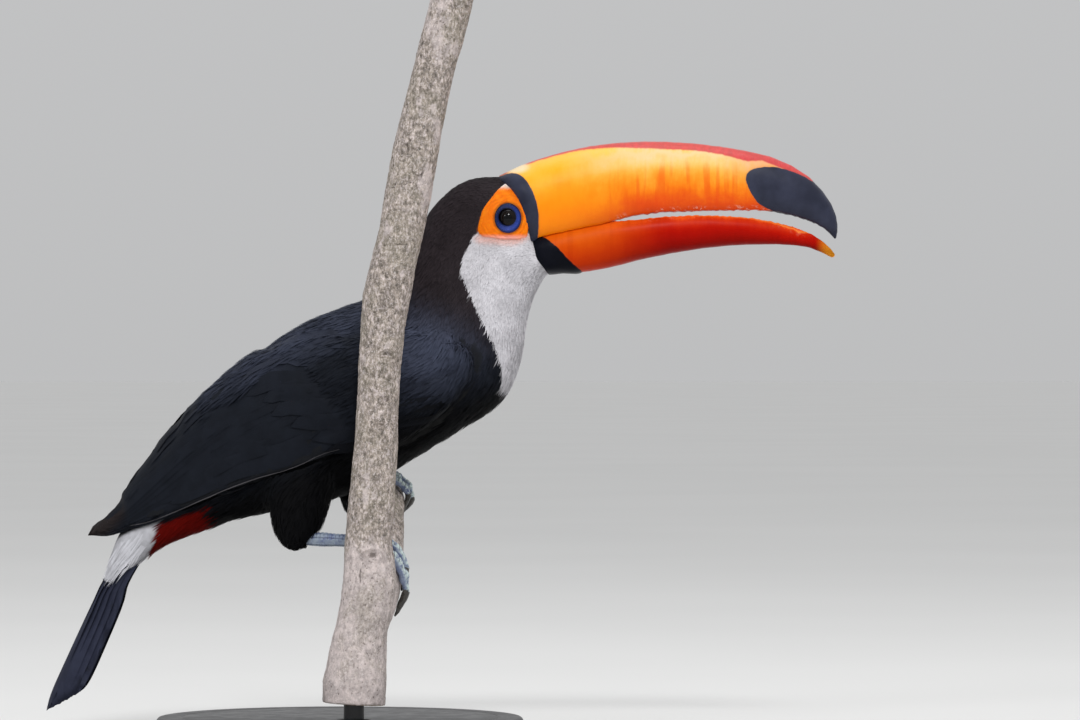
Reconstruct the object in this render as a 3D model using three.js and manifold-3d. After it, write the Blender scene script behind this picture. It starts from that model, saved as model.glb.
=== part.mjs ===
// A toco toucan, life size, gripping a short cut length of forked stem on a plain display stand.
// Millimetres. X runs forward along the bird, +Y is its left, +Z is up, and the origin is the middle
// of the base's underside. Body rows below read [top x, top z, bottom x, bottom z, half width].
import * as THREE from 'three';
import { mergeVertices } from 'three/addons/utils/BufferGeometryUtils.js';
import Module from 'manifold-3d';

const wasm = await Module();
wasm.setup();

// ---------------------------------------------------------------- driving sizes

const GAP = 0.35; // left between pieces that touch
const SIDE_CUT = 80; // how far a side-view cut reaches from the middle plane
const RIGHT = -1; // side factors: the bird's right is -Y
const LEFT = 1;

const BODY_SIDES = 26;
const BODY_FULLNESS = 2.25; // exponent of the body's superellipse sections
// The body's stretches between its parting lines, which are counted in rows of BODY.
const STRETCHES = {
  head: { from: 0, to: 4.3, steps: 8 },
  neck: { from: 4.3, to: 6.45, steps: 4 },
  trunk: { from: 6.45, to: 11.55, steps: 10 },
  tail_coverts: { from: 11.55, to: 15, steps: 5 },
};

// The feathered body as one form, from inside the bill's root to the ends of the tail coverts.
const BODY = [
  [114, 334, 142, 281, 16.5], // root of the bill
  [98, 337, 127.5, 281.5, 19.5], // forehead to chin
  [86.4, 337.9, 123.4, 278.4, 22.8], // crown, over the eye
  [73.2, 334.8, 119.4, 271.2, 24.6],
  [60, 324.6, 114.6, 259.8, 25.6], // back of the head to throat
  [50.8, 312.6, 111.6, 244.2, 28],
  [42.8, 294, 109.2, 226.8, 33], // nape to bib
  [30, 271.4, 101.2, 206.8, 38.5], // shoulders to the bib's tip
  [9, 262.4, 82.2, 191.2, 43.5],
  [-21, 251.4, 48, 171.2, 44.5], // deepest part of the trunk
  [-53, 229, 10.8, 149.2, 41.5],
  [-81, 202.8, -24, 138.8, 34], // rump to flank
  [-108, 163.2, -57, 134, 26], // vent
  [-127.6, 135.6, -85.2, 123.6, 19.5], // root of the tail
  [-138.6, 114.6, -106, 115.6, 16.2],
  [-144, 93.4, -116.4, 106.4, 14.2], // ends of the tail coverts
];

// Outer form of the folded wings, in the same kind of rows.
const WINGS = [
  [51, 313.8, 111, 244.2, 31],
  [43.2, 296.4, 108, 226.8, 37],
  [30, 275.4, 101.4, 206, 43],
  [9, 263.6, 82.2, 189.6, 47.6],
  [-21, 253.6, 48, 170.4, 48.8],
  [-53, 231.4, 10.8, 149.4, 46.8],
  [-81, 209.8, -15, 126, 40.5],
  [-108, 178, -51, 112.2, 31.5],
  [-127.8, 150, -93, 103.2, 21],
  [-132, 140.6, -113, 104, 15.6], // ends of the inner flight feathers
  [-142, 132, -130, 104.4, 10.6],
  [-150, 125.8, -150, 116.5, 5.6],
];
// Side view of one folded wing, from its bend along the lower edge to its tip and back over the mantle.
const WING_LOWER_EDGE = [
  [79.5, 235.5], [82, 226], [78.2, 212.6], [61, 193], [43, 180.4], [10, 174.4], [-22, 164.4],
  [-58, 151.4], [-93, 138], [-119, 130.6], [-137, 125.2], [-145, 122.6], [-148.4, 124.6],
];
const WING_OVER_BACK = [[-158, 134], [-158, 250], [-54, 250]];
const WING_MANTLE_EDGE = [[-49, 231], [-34, 237.2], [-16, 242.4], [12, 242], [40, 245.4], [62, 244.4]];
const WING_STEPS = 14;
const WING_EDGE_STEPS = { lower: 20, mantle: 7 };
const WING_SHELL = 6.5; // thickness of the wing where it stands clear behind the rump
const WING_HOLLOW = { from: 5.6, to: 9.1, steps: 5 };

const TAIL_ROWS = [ // [ridge x, ridge z, edge x, edge z, half width, thickness]
  [-143, 93.2, -119.5, 104.2, 12.6, 5],
  [-149.6, 79.6, -126.4, 87.6, 15.4, 4.6],
  [-159.6, 57.4, -138.8, 64.6, 18.6, 3.9],
  [-168, 38.4, -148.6, 45.6, 20.4, 3.2],
  [-173.4, 25.8, -153.8, 34.6, 19.6, 2.7],
  [-174.8, 17.2, -156, 31, 14, 2.2],
];
const TAIL_EDGE = 1.1; // thickness of the outermost vanes
const TAIL_STEPS = { along: 10, across: 8 };

// Where the face meets the bill, seen from the side.
const FACE_LINE = [
  [94, 341], [98.5, 335.5], [103.9, 331.3], [108.1, 325.3], [111, 319.3], [112.3, 311],
  [113.6, 301.4], [115.4, 295.6], [119.6, 288.2], [125, 282.4], [128, 276],
];
const FACE_STEPS = 12;
const BEYOND_BILL = { x: 330, bottom: 250, top: 380 }; // corners of a side view past the bill's ends

const UPPER_BILL = [
  [88, 334, 103, 294, 19],
  [104, 342.6, 116, 301.6, 20.2],
  [120, 348.6, 130, 304.8, 19.4],
  [144, 355, 146, 308, 18],
  [168, 358.3, 168, 313.4, 16.6],
  [192, 358.9, 190, 316.6, 15.3],
  [216, 357.4, 212, 317.5, 13.9],
  [240, 354, 234, 318, 12.3],
  [262, 348.7, 254, 318, 10.4],
  [280, 338.8, 270, 315.2, 8.4],
  [291.6, 326.4, 281, 311.8, 6.2],
  [297.4, 315, 289, 308.2, 4],
  [298.4, 307, 294.4, 303.6, 2],
  [297.8, 301.2, 296.8, 300.8, 0.6],
];
const LOWER_BILL = [
  [104, 293, 114, 276.4, 17],
  [118, 299.6, 129, 280.7, 17.8],
  [132, 304, 140, 280.4, 17.2],
  [146, 307, 152, 281.8, 16.2],
  [160, 309.3, 166, 284.6, 15],
  [176, 311.6, 182, 288.8, 13.8],
  [202, 314.2, 208, 293.8, 12],
  [226, 314.2, 231, 296.6, 10.4],
  [250, 311.5, 252, 297.6, 8.6],
  [270, 307.2, 271, 297.2, 6.5],
  [283.6, 301.9, 284, 295.3, 4.3],
  [291.6, 296.6, 290.6, 292.7, 2.4],
  [296.4, 291, 295.6, 290, 0.7],
];
// Half sections of the two bills, as [share of half width, share of half height], down from the top.
const UPPER_SECTION = [
  [0, 1], [0.3, 0.955], [0.58, 0.82], [0.8, 0.58], [0.94, 0.24], [1, -0.16], [0.985, -0.56],
  [0.93, -0.84], [0.86, -1], [0.7, -0.94], [0, -0.86],
];
const LOWER_SECTION = [
  [0, 0.74], [0.66, 0.86], [0.86, 1], [0.96, 0.7], [1, 0.2], [0.94, -0.3], [0.76, -0.7], [0.44, -0.93],
  [0, -1],
];

const BILL_STEPS = { upper: 20, lower: 17 };

// Middle is the distance from the bird's middle plane.
const EYE = { x: 100.6, z: 312.8, radius: 8, middle: 16, around: 14, rings: 8 };

// Legs, as rows of [x, distance from the middle plane, z, radius].
const THIGH_DEPTH = 0.86; // a thigh is narrower across the bird than along it
const RIGHT_LEG = {
  side: RIGHT,
  thigh: [[-18, 24, 172, 21], [-21, 27, 154, 20.4], [-24, 29, 138, 17.8], [-24, 30, 127, 15.2],
    [-21.5, 31, 119.4, 10.6], [-20, 31, 116.2, 5]],
  shank: [[-24, 31, 121.6, 2.9], [-12, 31.6, 121.4, 4.3], [-4, 32.6, 121, 3.8], [8, 33.6, 120.4, 3.7],
    [15, 34, 118, 4.6], [18, 34, 116.6, 3.6]],
  palm: { y: 34, turn: -26 },
};
const LEFT_LEG = {
  side: LEFT,
  thigh: [[2, 28, 178, 19], [6, 31, 163, 15.6], [8.6, 34, 150, 11.8], [9.6, 35.4, 140, 9.6],
    [9.6, 36, 132.6, 6.8], [9.4, 36, 129.4, 3.4]],
  shank: [[9, 36.6, 133.4, 2.6], [6.6, 33.4, 139, 3.4], [8, 26.6, 147.4, 3], [10.4, 19.6, 154, 3.1],
    [13.4, 14.6, 158.6, 4.2], [15.6, 13.6, 160.4, 3.4]],
  palm: { y: 14, turn: -34 },
};
// Toes 1 to 4 as they wrap the branch. Angles are in degrees round it: turn is where the claw begins,
// start is counted from the palm. Root and out are how far a toe's root and end lie along the branch,
// outward.
const TOES = [
  { turn: -92, start: -10, root: -3, out: -7, thickness: 4.6, claw: 34 },
  { turn: 66, start: 10, root: -3.3, out: 0.6, thickness: 5.2, claw: 38 },
  { turn: 82, start: 10, root: 3.3, out: 8, thickness: 6.4, claw: 50 },
  { turn: -108, start: -10, root: 3.2, out: 5.4, thickness: 5.6, claw: 44 },
];
const TOE = { steps: 5, sides: 8, taper: 0.22, knuckles: 2.5, swell: 0.1, stand_off: 1.2, end: 0.72 };
// Start is in degrees round the branch past the toe's end, lift how far the tip stands off the bark.
const CLAW = { steps: 4, sides: 6, start: 2.8, root: 0.8, tip: 0.6, lift: 2.2, curl: 1.6 };
const LIMB_STEPS = 7;
const THIGH_SIDES = 14;
const SHANK_SIDES = 8;

// The perch: a main stem in front of the bird and the side branch that carries its feet.
const STEM = [ // [x, y, z, radius]
  [10.4, -66, 26, 18.2], [11.2, -66, 40, 18], [13.7, -66, 63, 15.6], [16, -66, 75, 14.7],
  [19.2, -66, 92, 15.6], [19.4, -66, 108, 14.4], [19, -66, 122, 13.3], [21.6, -66, 157, 13],
  [23.7, -66, 181, 12.1], [24.6, -66, 204, 11.8], [26.6, -66, 240, 12.1], [29.3, -66, 263, 13.5],
  [34.3, -66, 287, 12.7], [40, -66, 311, 12.4], [43.7, -66, 334, 13.3], [48.1, -66, 358, 12.4],
  [56.1, -66, 393, 11.5], [69.8, -66, 446, 12.1],
];
const BRANCH = [
  [14, -68, 60, 12], [21, -52, 78.4, 12], [25.8, -36, 94.4, 12.1], [26.4, -16, 115, 12],
  [26.4, 2, 132.6, 12], [26.4, 14, 140.8, 11.9], [26.4, 27, 144.4, 11.8],
];
const PERCH_SIDES = 14;
const STEM_STEPS = 20;
const BRANCH_STEPS = 10;

const BASE = { radius: 110, height: 14, edge: 2.5, sides: 40 };
const ROD = { radius: 6, sides: 16 };

// ---------------------------------------------------------------- forms

/** Catmull-Rom value of rows of numbers at a place counted in rows. */
function rowAt(rows, place) {
  const last = rows.length - 1;
  const at = Math.min(Math.max(place, 0), last);
  const i = Math.min(Math.floor(at), last - 1);
  const t = at - i;
  const [p0, p1, p2, p3] = [-1, 0, 1, 2].map((step) => rows[Math.min(Math.max(i + step, 0), last)]);
  return p1.map((_, k) => {
    const bend = 2 * p0[k] - 5 * p1[k] + 4 * p2[k] - p3[k];
    const twist = 3 * p1[k] - p0[k] - 3 * p2[k] + p3[k];
    return 0.5 * (2 * p1[k] + (p2[k] - p0[k]) * t + bend * t * t + twist * t * t * t);
  });
}

/** Rows read off at even places between two of them. */
function rowsBetween(rows, from, to, steps) {
  return Array.from({ length: steps + 1 }, (_, i) => rowAt(rows, from + ((to - from) * i) / steps));
}

/** A closed geometry from shared vertices, with its faces turned outward. */
function closedGeometry(points, triangles) {
  const [a, b, c] = [new THREE.Vector3(), new THREE.Vector3(), new THREE.Vector3()];
  const volume = triangles.reduce((sum, [i, j, k]) => {
    a.copy(points[i]);
    b.copy(points[j]);
    c.copy(points[k]);
    return sum + a.dot(b.cross(c));
  }, 0);
  const geometry = new THREE.BufferGeometry().setFromPoints(points);
  geometry.setIndex(triangles.flatMap(([i, j, k]) => (volume > 0 ? [i, j, k] : [i, k, j])));
  return geometry;
}

/** A skin over loops of equally many points, closed at both ends. */
function loft(loops) {
  const sides = loops[0].length;
  const points = loops.flat();
  const triangles = [];
  for (let row = 0; row + 1 < loops.length; row += 1) {
    for (let i = 0; i < sides; i += 1) {
      const [a, b] = [row * sides + i, row * sides + ((i + 1) % sides)];
      triangles.push([a, b, b + sides], [a, b + sides, a + sides]);
    }
  }
  for (const [loop, start, turned] of [[loops[0], 0, true], [loops.at(-1), points.length - sides, false]]) {
    const middle = points.length;
    points.push(loop.reduce((sum, point) => sum.add(point), new THREE.Vector3()).divideScalar(sides));
    for (let i = 0; i < sides; i += 1) {
      const [a, b] = [start + i, start + ((i + 1) % sides)];
      triangles.push(turned ? [b, a, middle] : [a, b, middle]);
    }
  }
  return closedGeometry(points, triangles);
}

function asSolid(geometry) {
  const bare = new THREE.BufferGeometry().setAttribute('position', geometry.getAttribute('position'));
  bare.setIndex(geometry.index);
  const merged = mergeVertices(bare);
  return new wasm.Manifold(new wasm.Mesh({
    numProp: 3,
    vertProperties: merged.getAttribute('position').array,
    triVerts: new Uint32Array(merged.index.array),
  }));
}

function asGeometry(solid) {
  const { vertProperties, triVerts } = solid.getMesh();
  const geometry = new THREE.BufferGeometry();
  geometry.setAttribute('position', new THREE.BufferAttribute(Float32Array.from(vertProperties), 3));
  geometry.setIndex(Array.from(triVerts));
  return geometry;
}

/** The largest of the pieces that a cut leaves. */
function largestPiece(solid) {
  const pieces = solid.decompose().sort((a, b) => b.volume() - a.volume());
  return pieces[0];
}

const signedPower = (value, power) => Math.sign(value) * Math.abs(value) ** power;

/** An oval loop whose top and bottom lie in the bird's middle plane. */
function ovalLoop([topX, topZ, bottomX, bottomZ, halfWidth], grow = 0) {
  const middle = new THREE.Vector3((topX + bottomX) / 2, 0, (topZ + bottomZ) / 2);
  const up = new THREE.Vector3(topX, 0, topZ).sub(middle);
  up.setLength(up.length() + grow);
  return Array.from({ length: BODY_SIDES }, (_, i) => {
    const angle = (2 * Math.PI * i) / BODY_SIDES;
    const across = signedPower(Math.sin(angle), 2 / BODY_FULLNESS) * (halfWidth + grow);
    const along = signedPower(Math.cos(angle), 2 / BODY_FULLNESS);
    return middle.clone().addScaledVector(up, along).setY(across);
  });
}

/** One stretch of the body, with its two end loops drawn in by half the parting gap. */
function bodyStretch({ from, to, steps }) {
  const loops = rowsBetween(BODY, from, to, steps).map((row) => ovalLoop(row));
  drawIn(loops, GAP / 2);
  return asSolid(loft(loops));
}

/** The whole body, fatter by the gap, to cut what lies against it. */
function wholeBody() {
  const rows = Object.values(STRETCHES).flatMap(({ from, to, steps }, i) => (
    rowsBetween(BODY, from, to, steps).slice(i === 0 ? 0 : 1)
  ));
  return asSolid(loft(rows.map((row) => ovalLoop(row, GAP))));
}

/** Moves the first and last of some loops towards each other. */
function drawIn(loops, distance) {
  for (const loop of [loops[0], loops.at(-1)]) {
    const other = loop === loops[0] ? loops.at(-1) : loops[0];
    const quarter = Math.floor(loop.length / 4);
    const [first, second] = [loop[quarter], loop[2 * quarter]].map((point) => point.clone().sub(loop[0]));
    const normal = first.cross(second).normalize();
    const inward = Math.sign(normal.dot(other[0].clone().sub(loop[0])));
    loop.forEach((point) => point.addScaledVector(normal, inward * distance));
  }
}

const flatPoints = (pairs) => pairs.map((pair) => new THREE.Vector2(...pair));

/** A smooth line through points, as the points that draw it. */
const smoothLine = (pairs, steps) => new THREE.SplineCurve(flatPoints(pairs)).getPoints(steps);

/** Everything inside a side-view outline. */
function sidePrism(outline) {
  const geometry = new THREE.ExtrudeGeometry(new THREE.Shape(outline), {
    depth: 2 * SIDE_CUT, bevelEnabled: false, curveSegments: 1,
  });
  return asSolid(geometry.rotateX(Math.PI / 2).translate(0, SIDE_CUT, 0));
}

/** A round limb along rows of [x, y, z, radius], with domed ends. */
function limb(rows, { sides, steps, grow = 0, depth = 1 }) {
  const stations = rowsBetween(rows, 0, rows.length - 1, steps);
  const centres = stations.map(([x, y, z]) => new THREE.Vector3(x, y, z));
  const loops = stations.map((row, i) => {
    const ahead = centres[Math.min(i + 1, steps)].clone().sub(centres[Math.max(i - 1, 0)]).normalize();
    const aside = new THREE.Vector3(0, 1, 0).cross(ahead).normalize();
    const up = ahead.clone().cross(aside);
    return Array.from({ length: sides }, (_, k) => {
      const angle = (2 * Math.PI * k) / sides;
      return centres[i].clone()
        .addScaledVector(aside, (row[3] + grow) * Math.cos(angle))
        .addScaledVector(up, (row[3] * depth + grow) * Math.sin(angle));
    });
  });
  return asSolid(loft(loops));
}

// ---------------------------------------------------------------- head, neck and trunk

/** All that lies ahead of the face line, moved forward by a distance. */
function aheadOfFace(forward) {
  const line = smoothLine(FACE_LINE.map(([x, z]) => [x + forward, z]), FACE_STEPS);
  const { x, bottom, top } = BEYOND_BILL;
  return sidePrism([...line, ...flatPoints([[x, bottom], [x, top], [FACE_LINE[0][0] + forward, top]])]);
}

function eyeball(side, grow = 0) {
  const ball = new THREE.SphereGeometry(EYE.radius + grow, EYE.around, EYE.rings);
  return asSolid(ball.translate(EYE.x, side * EYE.middle, EYE.z));
}

function makeHead() {
  return bodyStretch(STRETCHES.head)
    .subtract(aheadOfFace(-GAP / 2))
    .subtract(eyeball(RIGHT, GAP))
    .subtract(eyeball(LEFT, GAP));
}

/** The whole loop of a bill's half section, fitted to one of its rows. */
function billLoop([topX, topZ, bottomX, bottomZ, halfWidth], section) {
  const point = ([across, along], side) => new THREE.Vector3(
    (topX + bottomX + along * (topX - bottomX)) / 2,
    side * across * halfWidth,
    (topZ + bottomZ + along * (topZ - bottomZ)) / 2,
  );
  const rightHalf = section.map((share) => point(share, RIGHT));
  const leftHalf = section.slice(1, -1).reverse().map((share) => point(share, LEFT));
  return [...rightHalf, ...leftHalf];
}

function makeBill(rows, section, steps) {
  const loops = rowsBetween(rows, 0, rows.length - 1, steps).map((row) => billLoop(row, section));
  return asSolid(loft(loops)).intersect(aheadOfFace(GAP / 2));
}

// ---------------------------------------------------------------- wings and tail

/** The half oval of one wing, open side on the middle plane. */
function wingLoop([topX, topZ, bottomX, bottomZ, halfWidth], side) {
  const whole = ovalLoop([topX, topZ, bottomX, bottomZ, halfWidth]);
  const half = whole.slice(0, BODY_SIDES / 2 + 1);
  return half.map((point) => point.setY(side * Math.max(Math.abs(point.y), GAP / 2)));
}

function makeWing(side, bodyAround) {
  const rows = rowsBetween(WINGS, 0, WINGS.length - 1, WING_STEPS);
  const form = asSolid(loft(rows.map((row) => wingLoop(row, side))));
  const { from, to, steps } = WING_HOLLOW;
  const hollowRows = rowsBetween(WINGS, from, to, steps).map(
    ([topX, topZ, bottomX, bottomZ, halfWidth]) => [
      topX + WING_SHELL / 2, topZ - WING_SHELL, bottomX, bottomZ - WING_SHELL, halfWidth - WING_SHELL,
    ],
  );
  const hollow = asSolid(loft(hollowRows.map((row) => ovalLoop(row))));
  const outline = [
    ...smoothLine(WING_LOWER_EDGE, WING_EDGE_STEPS.lower),
    ...flatPoints(WING_OVER_BACK),
    ...smoothLine(WING_MANTLE_EDGE, WING_EDGE_STEPS.mantle),
  ];
  return form.intersect(sidePrism(outline)).subtract(hollow).subtract(bodyAround);
}

/** The folded tail's section: a low roof of stacked feathers. */
function tailLoop([ridgeX, ridgeZ, edgeX, edgeZ, halfWidth, thickness]) {
  const rise = new THREE.Vector3(ridgeX - edgeX, 0, ridgeZ - edgeZ);
  const arc = (height, width) => Array.from({ length: TAIL_STEPS.across + 1 }, (_, i) => {
    const angle = Math.PI * (i / TAIL_STEPS.across - 0.5);
    return new THREE.Vector3(edgeX, 0, edgeZ)
      .addScaledVector(rise, height * Math.cos(angle))
      .setY(width * Math.sin(angle));
  });
  return [...arc(1, halfWidth), ...arc(1 - thickness / rise.length(), halfWidth - TAIL_EDGE).reverse()];
}

function makeTail() {
  const rows = rowsBetween(TAIL_ROWS, 0, TAIL_ROWS.length - 1, TAIL_STEPS.along);
  return asSolid(loft(rows.map(tailLoop)));
}

// ---------------------------------------------------------------- legs

const onSide = (rows, side) => rows.map(([x, out, z, radius]) => [x, side * out, z, radius]);

const makeThigh = ({ thigh, side }) => limb(onSide(thigh, side), {
  sides: THIGH_SIDES, steps: LIMB_STEPS, depth: THIGH_DEPTH,
});

const makeShank = ({ shank, side }, grow = 0) => limb(onSide(shank, side), {
  sides: SHANK_SIDES, steps: LIMB_STEPS, grow,
});

/** A place on a sleeve round the branch: y along it, turn in degrees from its top, and a radius. */
function roundBranch(y, turn, radius) {
  const rowAtY = (wanted) => {
    let [low, high] = [0, BRANCH.length - 1];
    for (let i = 0; i < 24; i += 1) {
      const mid = (low + high) / 2;
      [low, high] = rowAt(BRANCH, mid)[1] < wanted ? [mid, high] : [low, mid];
    }
    return rowAt(BRANCH, low);
  };
  const [x, , z, barkRadius] = rowAtY(y);
  const [, y0, z0] = rowAtY(y - 1);
  const [, y1, z1] = rowAtY(y + 1);
  const slant = Math.hypot(y1 - y0, z1 - z0) / (y1 - y0);
  const angle = THREE.MathUtils.degToRad(turn);
  const reach = barkRadius + radius;
  return [x + reach * Math.sin(angle), y, z + reach * slant * Math.cos(angle)];
}

const { lerp } = THREE.MathUtils;

/** Rows of [x, y, z, radius] for one toe. */
function toeRows({ side, palm }, { turn, start, root, out, thickness }) {
  const radius = thickness / 2;
  const first = palm.turn + start;
  return Array.from({ length: TOE.steps + 1 }, (_, i) => {
    const share = i / TOE.steps;
    const knuckle = 1 + TOE.swell * Math.cos(2 * Math.PI * share * TOE.knuckles);
    const here = radius * (1 + TOE.taper * (0.25 - share)) * knuckle;
    const along = side * (palm.y + lerp(root, out, share));
    const place = roundBranch(along, lerp(first, turn, share), radius * TOE.stand_off + GAP);
    return [...place, i === TOE.steps ? here * TOE.end : here];
  });
}

/** Rows of [x, y, z, radius] for the claw on a toe's end. */
function clawRows({ side, palm }, { turn, out, thickness, claw }) {
  const radius = thickness / 2;
  return Array.from({ length: CLAW.steps + 1 }, (_, i) => {
    const share = i / CLAW.steps;
    const curl = share ** CLAW.curl;
    const angle = turn + Math.sign(turn) * (CLAW.start + claw * share);
    const off = GAP + lerp(radius * TOE.stand_off, CLAW.tip + CLAW.lift, curl);
    return [...roundBranch(side * (palm.y + out), angle, off), lerp(radius * CLAW.root, CLAW.tip, curl)];
  });
}

// ---------------------------------------------------------------- perch and stand

const makeStem = (grow = 0) => limb(STEM, { sides: PERCH_SIDES, steps: STEM_STEPS, grow });

const makeBranch = (grow = 0) => limb(BRANCH, { sides: PERCH_SIDES, steps: BRANCH_STEPS, grow });

function makeBase() {
  const { radius, height, edge, sides } = BASE;
  const profile = [[0, 0], [radius, 0], [radius, height - edge], [radius - edge, height], [0, height]];
  const lathe = new THREE.LatheGeometry(flatPoints(profile), sides);
  return asSolid(lathe.rotateX(Math.PI / 2));
}

function makeRod() {
  const [x, y, stemFoot] = STEM[0];
  const [bottom, top] = [BASE.height + GAP, stemFoot - GAP];
  const rod = new THREE.CylinderGeometry(ROD.radius, ROD.radius, top - bottom, ROD.sides);
  return asSolid(rod.rotateX(Math.PI / 2).translate(x, y, (bottom + top) / 2));
}

// ---------------------------------------------------------------- the model

const finish = (color, roughness) => new THREE.MeshStandardMaterial({ color, roughness, metalness: 0 });
const BLACK_PLUMAGE = finish('#1d1e26', 0.7);
const COVERTS_WHITE = finish('#d9d3c8', 0.85);
const HEAD_PLUMAGE = finish('#2a2626', 0.75);
const BIB_WHITE = finish('#cfcaca', 0.85);
const TAIL_SLATE = finish('#2c2f3f', 0.6);
const UPPER_ORANGE = finish('#f4911d', 0.35);
const LOWER_RED = finish('#d43a16', 0.35);
const EYE_BLACK = finish('#0b0b12', 0.1);
const LEG_BLUE = finish('#8f9bb3', 0.65);
const CLAW_DARK = finish('#2e2c2a', 0.45);
const BARK = finish('#a3968a', 0.95);
const STAND_BLACK = finish('#26262a', 0.4);

const toucan = new THREE.Group();

function put(name, solid, material) {
  const mesh = new THREE.Mesh(asGeometry(solid), material);
  mesh.name = name;
  toucan.add(mesh);
}

const bodyAround = wholeBody();
const branchAround = makeBranch(GAP);
const legs = [RIGHT_LEG, LEFT_LEG];
const nameOn = (name, side) => `${name}_${side === RIGHT ? 'right' : 'left'}`;

put('head', makeHead(), HEAD_PLUMAGE);
put('bill_upper', makeBill(UPPER_BILL, UPPER_SECTION, BILL_STEPS.upper), UPPER_ORANGE);
put('bill_lower', makeBill(LOWER_BILL, LOWER_SECTION, BILL_STEPS.lower), LOWER_RED);
put('neck', bodyStretch(STRETCHES.neck), BIB_WHITE);
put('tail_coverts', bodyStretch(STRETCHES.tail_coverts), COVERTS_WHITE);
put('tail', makeTail(), TAIL_SLATE);

let trunk = bodyStretch(STRETCHES.trunk).subtract(branchAround);
for (const leg of legs) {
  const { side } = leg;
  const wing = makeWing(side, bodyAround);
  const shank = makeShank(leg);
  const shankAround = makeShank(leg, GAP);
  const wingNear = [[0, 0, -GAP], [0, -side * GAP, -GAP]].map((move) => wing.translate(move));
  const around = [bodyAround, wing, ...wingNear, shankAround, branchAround];
  const thigh = largestPiece(around.reduce((solid, other) => solid.subtract(other), makeThigh(leg)));
  trunk = trunk.subtract(shankAround);
  put(nameOn('eye', side), eyeball(side), EYE_BLACK);
  put(nameOn('wing', side), wing, BLACK_PLUMAGE);
  put(nameOn('thigh', side), thigh, BLACK_PLUMAGE);
  put(nameOn('shank', side), shank, LEG_BLUE);
  TOES.forEach((toe, i) => {
    const rows = toeRows(leg, toe);
    const shape = { sides: TOE.sides, steps: TOE.steps };
    const claw = limb(clawRows(leg, toe), { sides: CLAW.sides, steps: CLAW.steps });
    put(nameOn(`toe_${i + 1}`, side), limb(rows, shape).subtract(shankAround), LEG_BLUE);
    put(nameOn(`claw_${i + 1}`, side), claw, CLAW_DARK);
    trunk = trunk.subtract(limb(rows, { ...shape, grow: GAP }));
  });
}
put('trunk', trunk, BLACK_PLUMAGE);
put('perch_stem', makeStem(), BARK);
put('perch_branch', makeBranch().subtract(makeStem(GAP)), BARK);
put('stand_rod', makeRod(), STAND_BLACK);
put('stand_base', makeBase(), STAND_BLACK);

export default toucan;
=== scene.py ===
"""A life-size toco toucan on a cut stem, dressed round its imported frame. All places are in metres."""

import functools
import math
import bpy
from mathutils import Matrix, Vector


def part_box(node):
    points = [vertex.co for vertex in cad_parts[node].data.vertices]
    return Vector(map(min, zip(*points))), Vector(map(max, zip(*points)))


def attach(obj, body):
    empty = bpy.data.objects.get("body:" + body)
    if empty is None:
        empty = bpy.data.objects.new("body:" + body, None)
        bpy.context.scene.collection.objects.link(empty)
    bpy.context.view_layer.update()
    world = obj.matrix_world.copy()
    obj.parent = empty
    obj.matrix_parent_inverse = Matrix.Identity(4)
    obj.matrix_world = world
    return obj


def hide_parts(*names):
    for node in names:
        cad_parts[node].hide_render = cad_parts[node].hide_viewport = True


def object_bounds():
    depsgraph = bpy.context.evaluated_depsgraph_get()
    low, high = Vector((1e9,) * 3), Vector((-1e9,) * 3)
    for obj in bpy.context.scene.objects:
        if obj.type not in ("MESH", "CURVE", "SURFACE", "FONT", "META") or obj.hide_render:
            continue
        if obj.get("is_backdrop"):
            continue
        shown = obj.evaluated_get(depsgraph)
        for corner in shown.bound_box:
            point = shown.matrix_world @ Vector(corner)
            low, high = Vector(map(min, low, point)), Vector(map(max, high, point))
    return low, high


bl_info = {
    "name": "Toco Toucan on a Stem",
    "version": (1, 0, 0),
    "blender": (4, 5, 0),
    "location": "3D View > Sidebar > Toucan",
    "description": "Makes the plumage, bill, eyes, legs, perch and stand of a toco toucan",
    "category": "Object",
}

import bmesh
import bpy
import numpy as np
from bpy.props import FloatProperty, FloatVectorProperty, PointerProperty
from mathutils import Vector, noise
from mathutils.bvhtree import BVHTree

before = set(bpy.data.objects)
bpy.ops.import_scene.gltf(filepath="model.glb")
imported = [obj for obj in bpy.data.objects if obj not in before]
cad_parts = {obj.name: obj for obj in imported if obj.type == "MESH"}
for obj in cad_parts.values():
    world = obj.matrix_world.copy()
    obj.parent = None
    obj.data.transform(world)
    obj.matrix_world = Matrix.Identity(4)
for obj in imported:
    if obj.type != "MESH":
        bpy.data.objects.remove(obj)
CAD_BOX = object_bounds()

MM = 0.001
SIDES = {"right": -1, "left": 1}
TOE_NUMBERS = (1, 2, 3, 4)

# ---------------------------------------------------------------- the bird's lines, in millimetres

# The lie of the coat, from the bill's root to the tail, as [x, z] in the middle plane, in metres.
LIE_LINE = MM * np.array([
    (127, 305), (108, 310), (90, 298), (78, 270), (64, 238), (14, 211), (-52, 171), (-106, 130),
    (-134, 92),
], float)
# Side outlines of the markings, as [x, z].
EYE_PATCH = [
    (99.9, 333.2), (96, 330), (92.4, 325.6), (89.2, 321.2), (86.8, 317.8), (85, 312.6), (83.6, 305.2),
    (86.4, 302.2), (92, 301.4), (99, 300.8), (110.6, 301.2), (112.2, 306), (112.4, 311), (111.2, 318.6),
    (108.6, 325), (104.6, 331), (102, 333.6),
]
BIB = [
    (116, 303.5), (98, 303), (84, 304.4), (79.2, 298.6), (75, 291), (73.4, 283.2), (75.6, 276.6),
    (79.2, 268.2), (84, 258.4), (89, 247.6), (93.8, 238.4), (96.8, 230.6), (98.4, 223), (98.6, 218.6),
    (98.2, 214.4), (99, 212.2), (104, 212), (130, 212), (150, 250), (150, 290), (130, 300),
]
VENT = [
    (-78, 150), (-103, 133.2), (-105.4, 124), (-109.6, 115.4), (-112, 108), (-104, 96), (-69, 104),
    (-67, 128),
]
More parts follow.
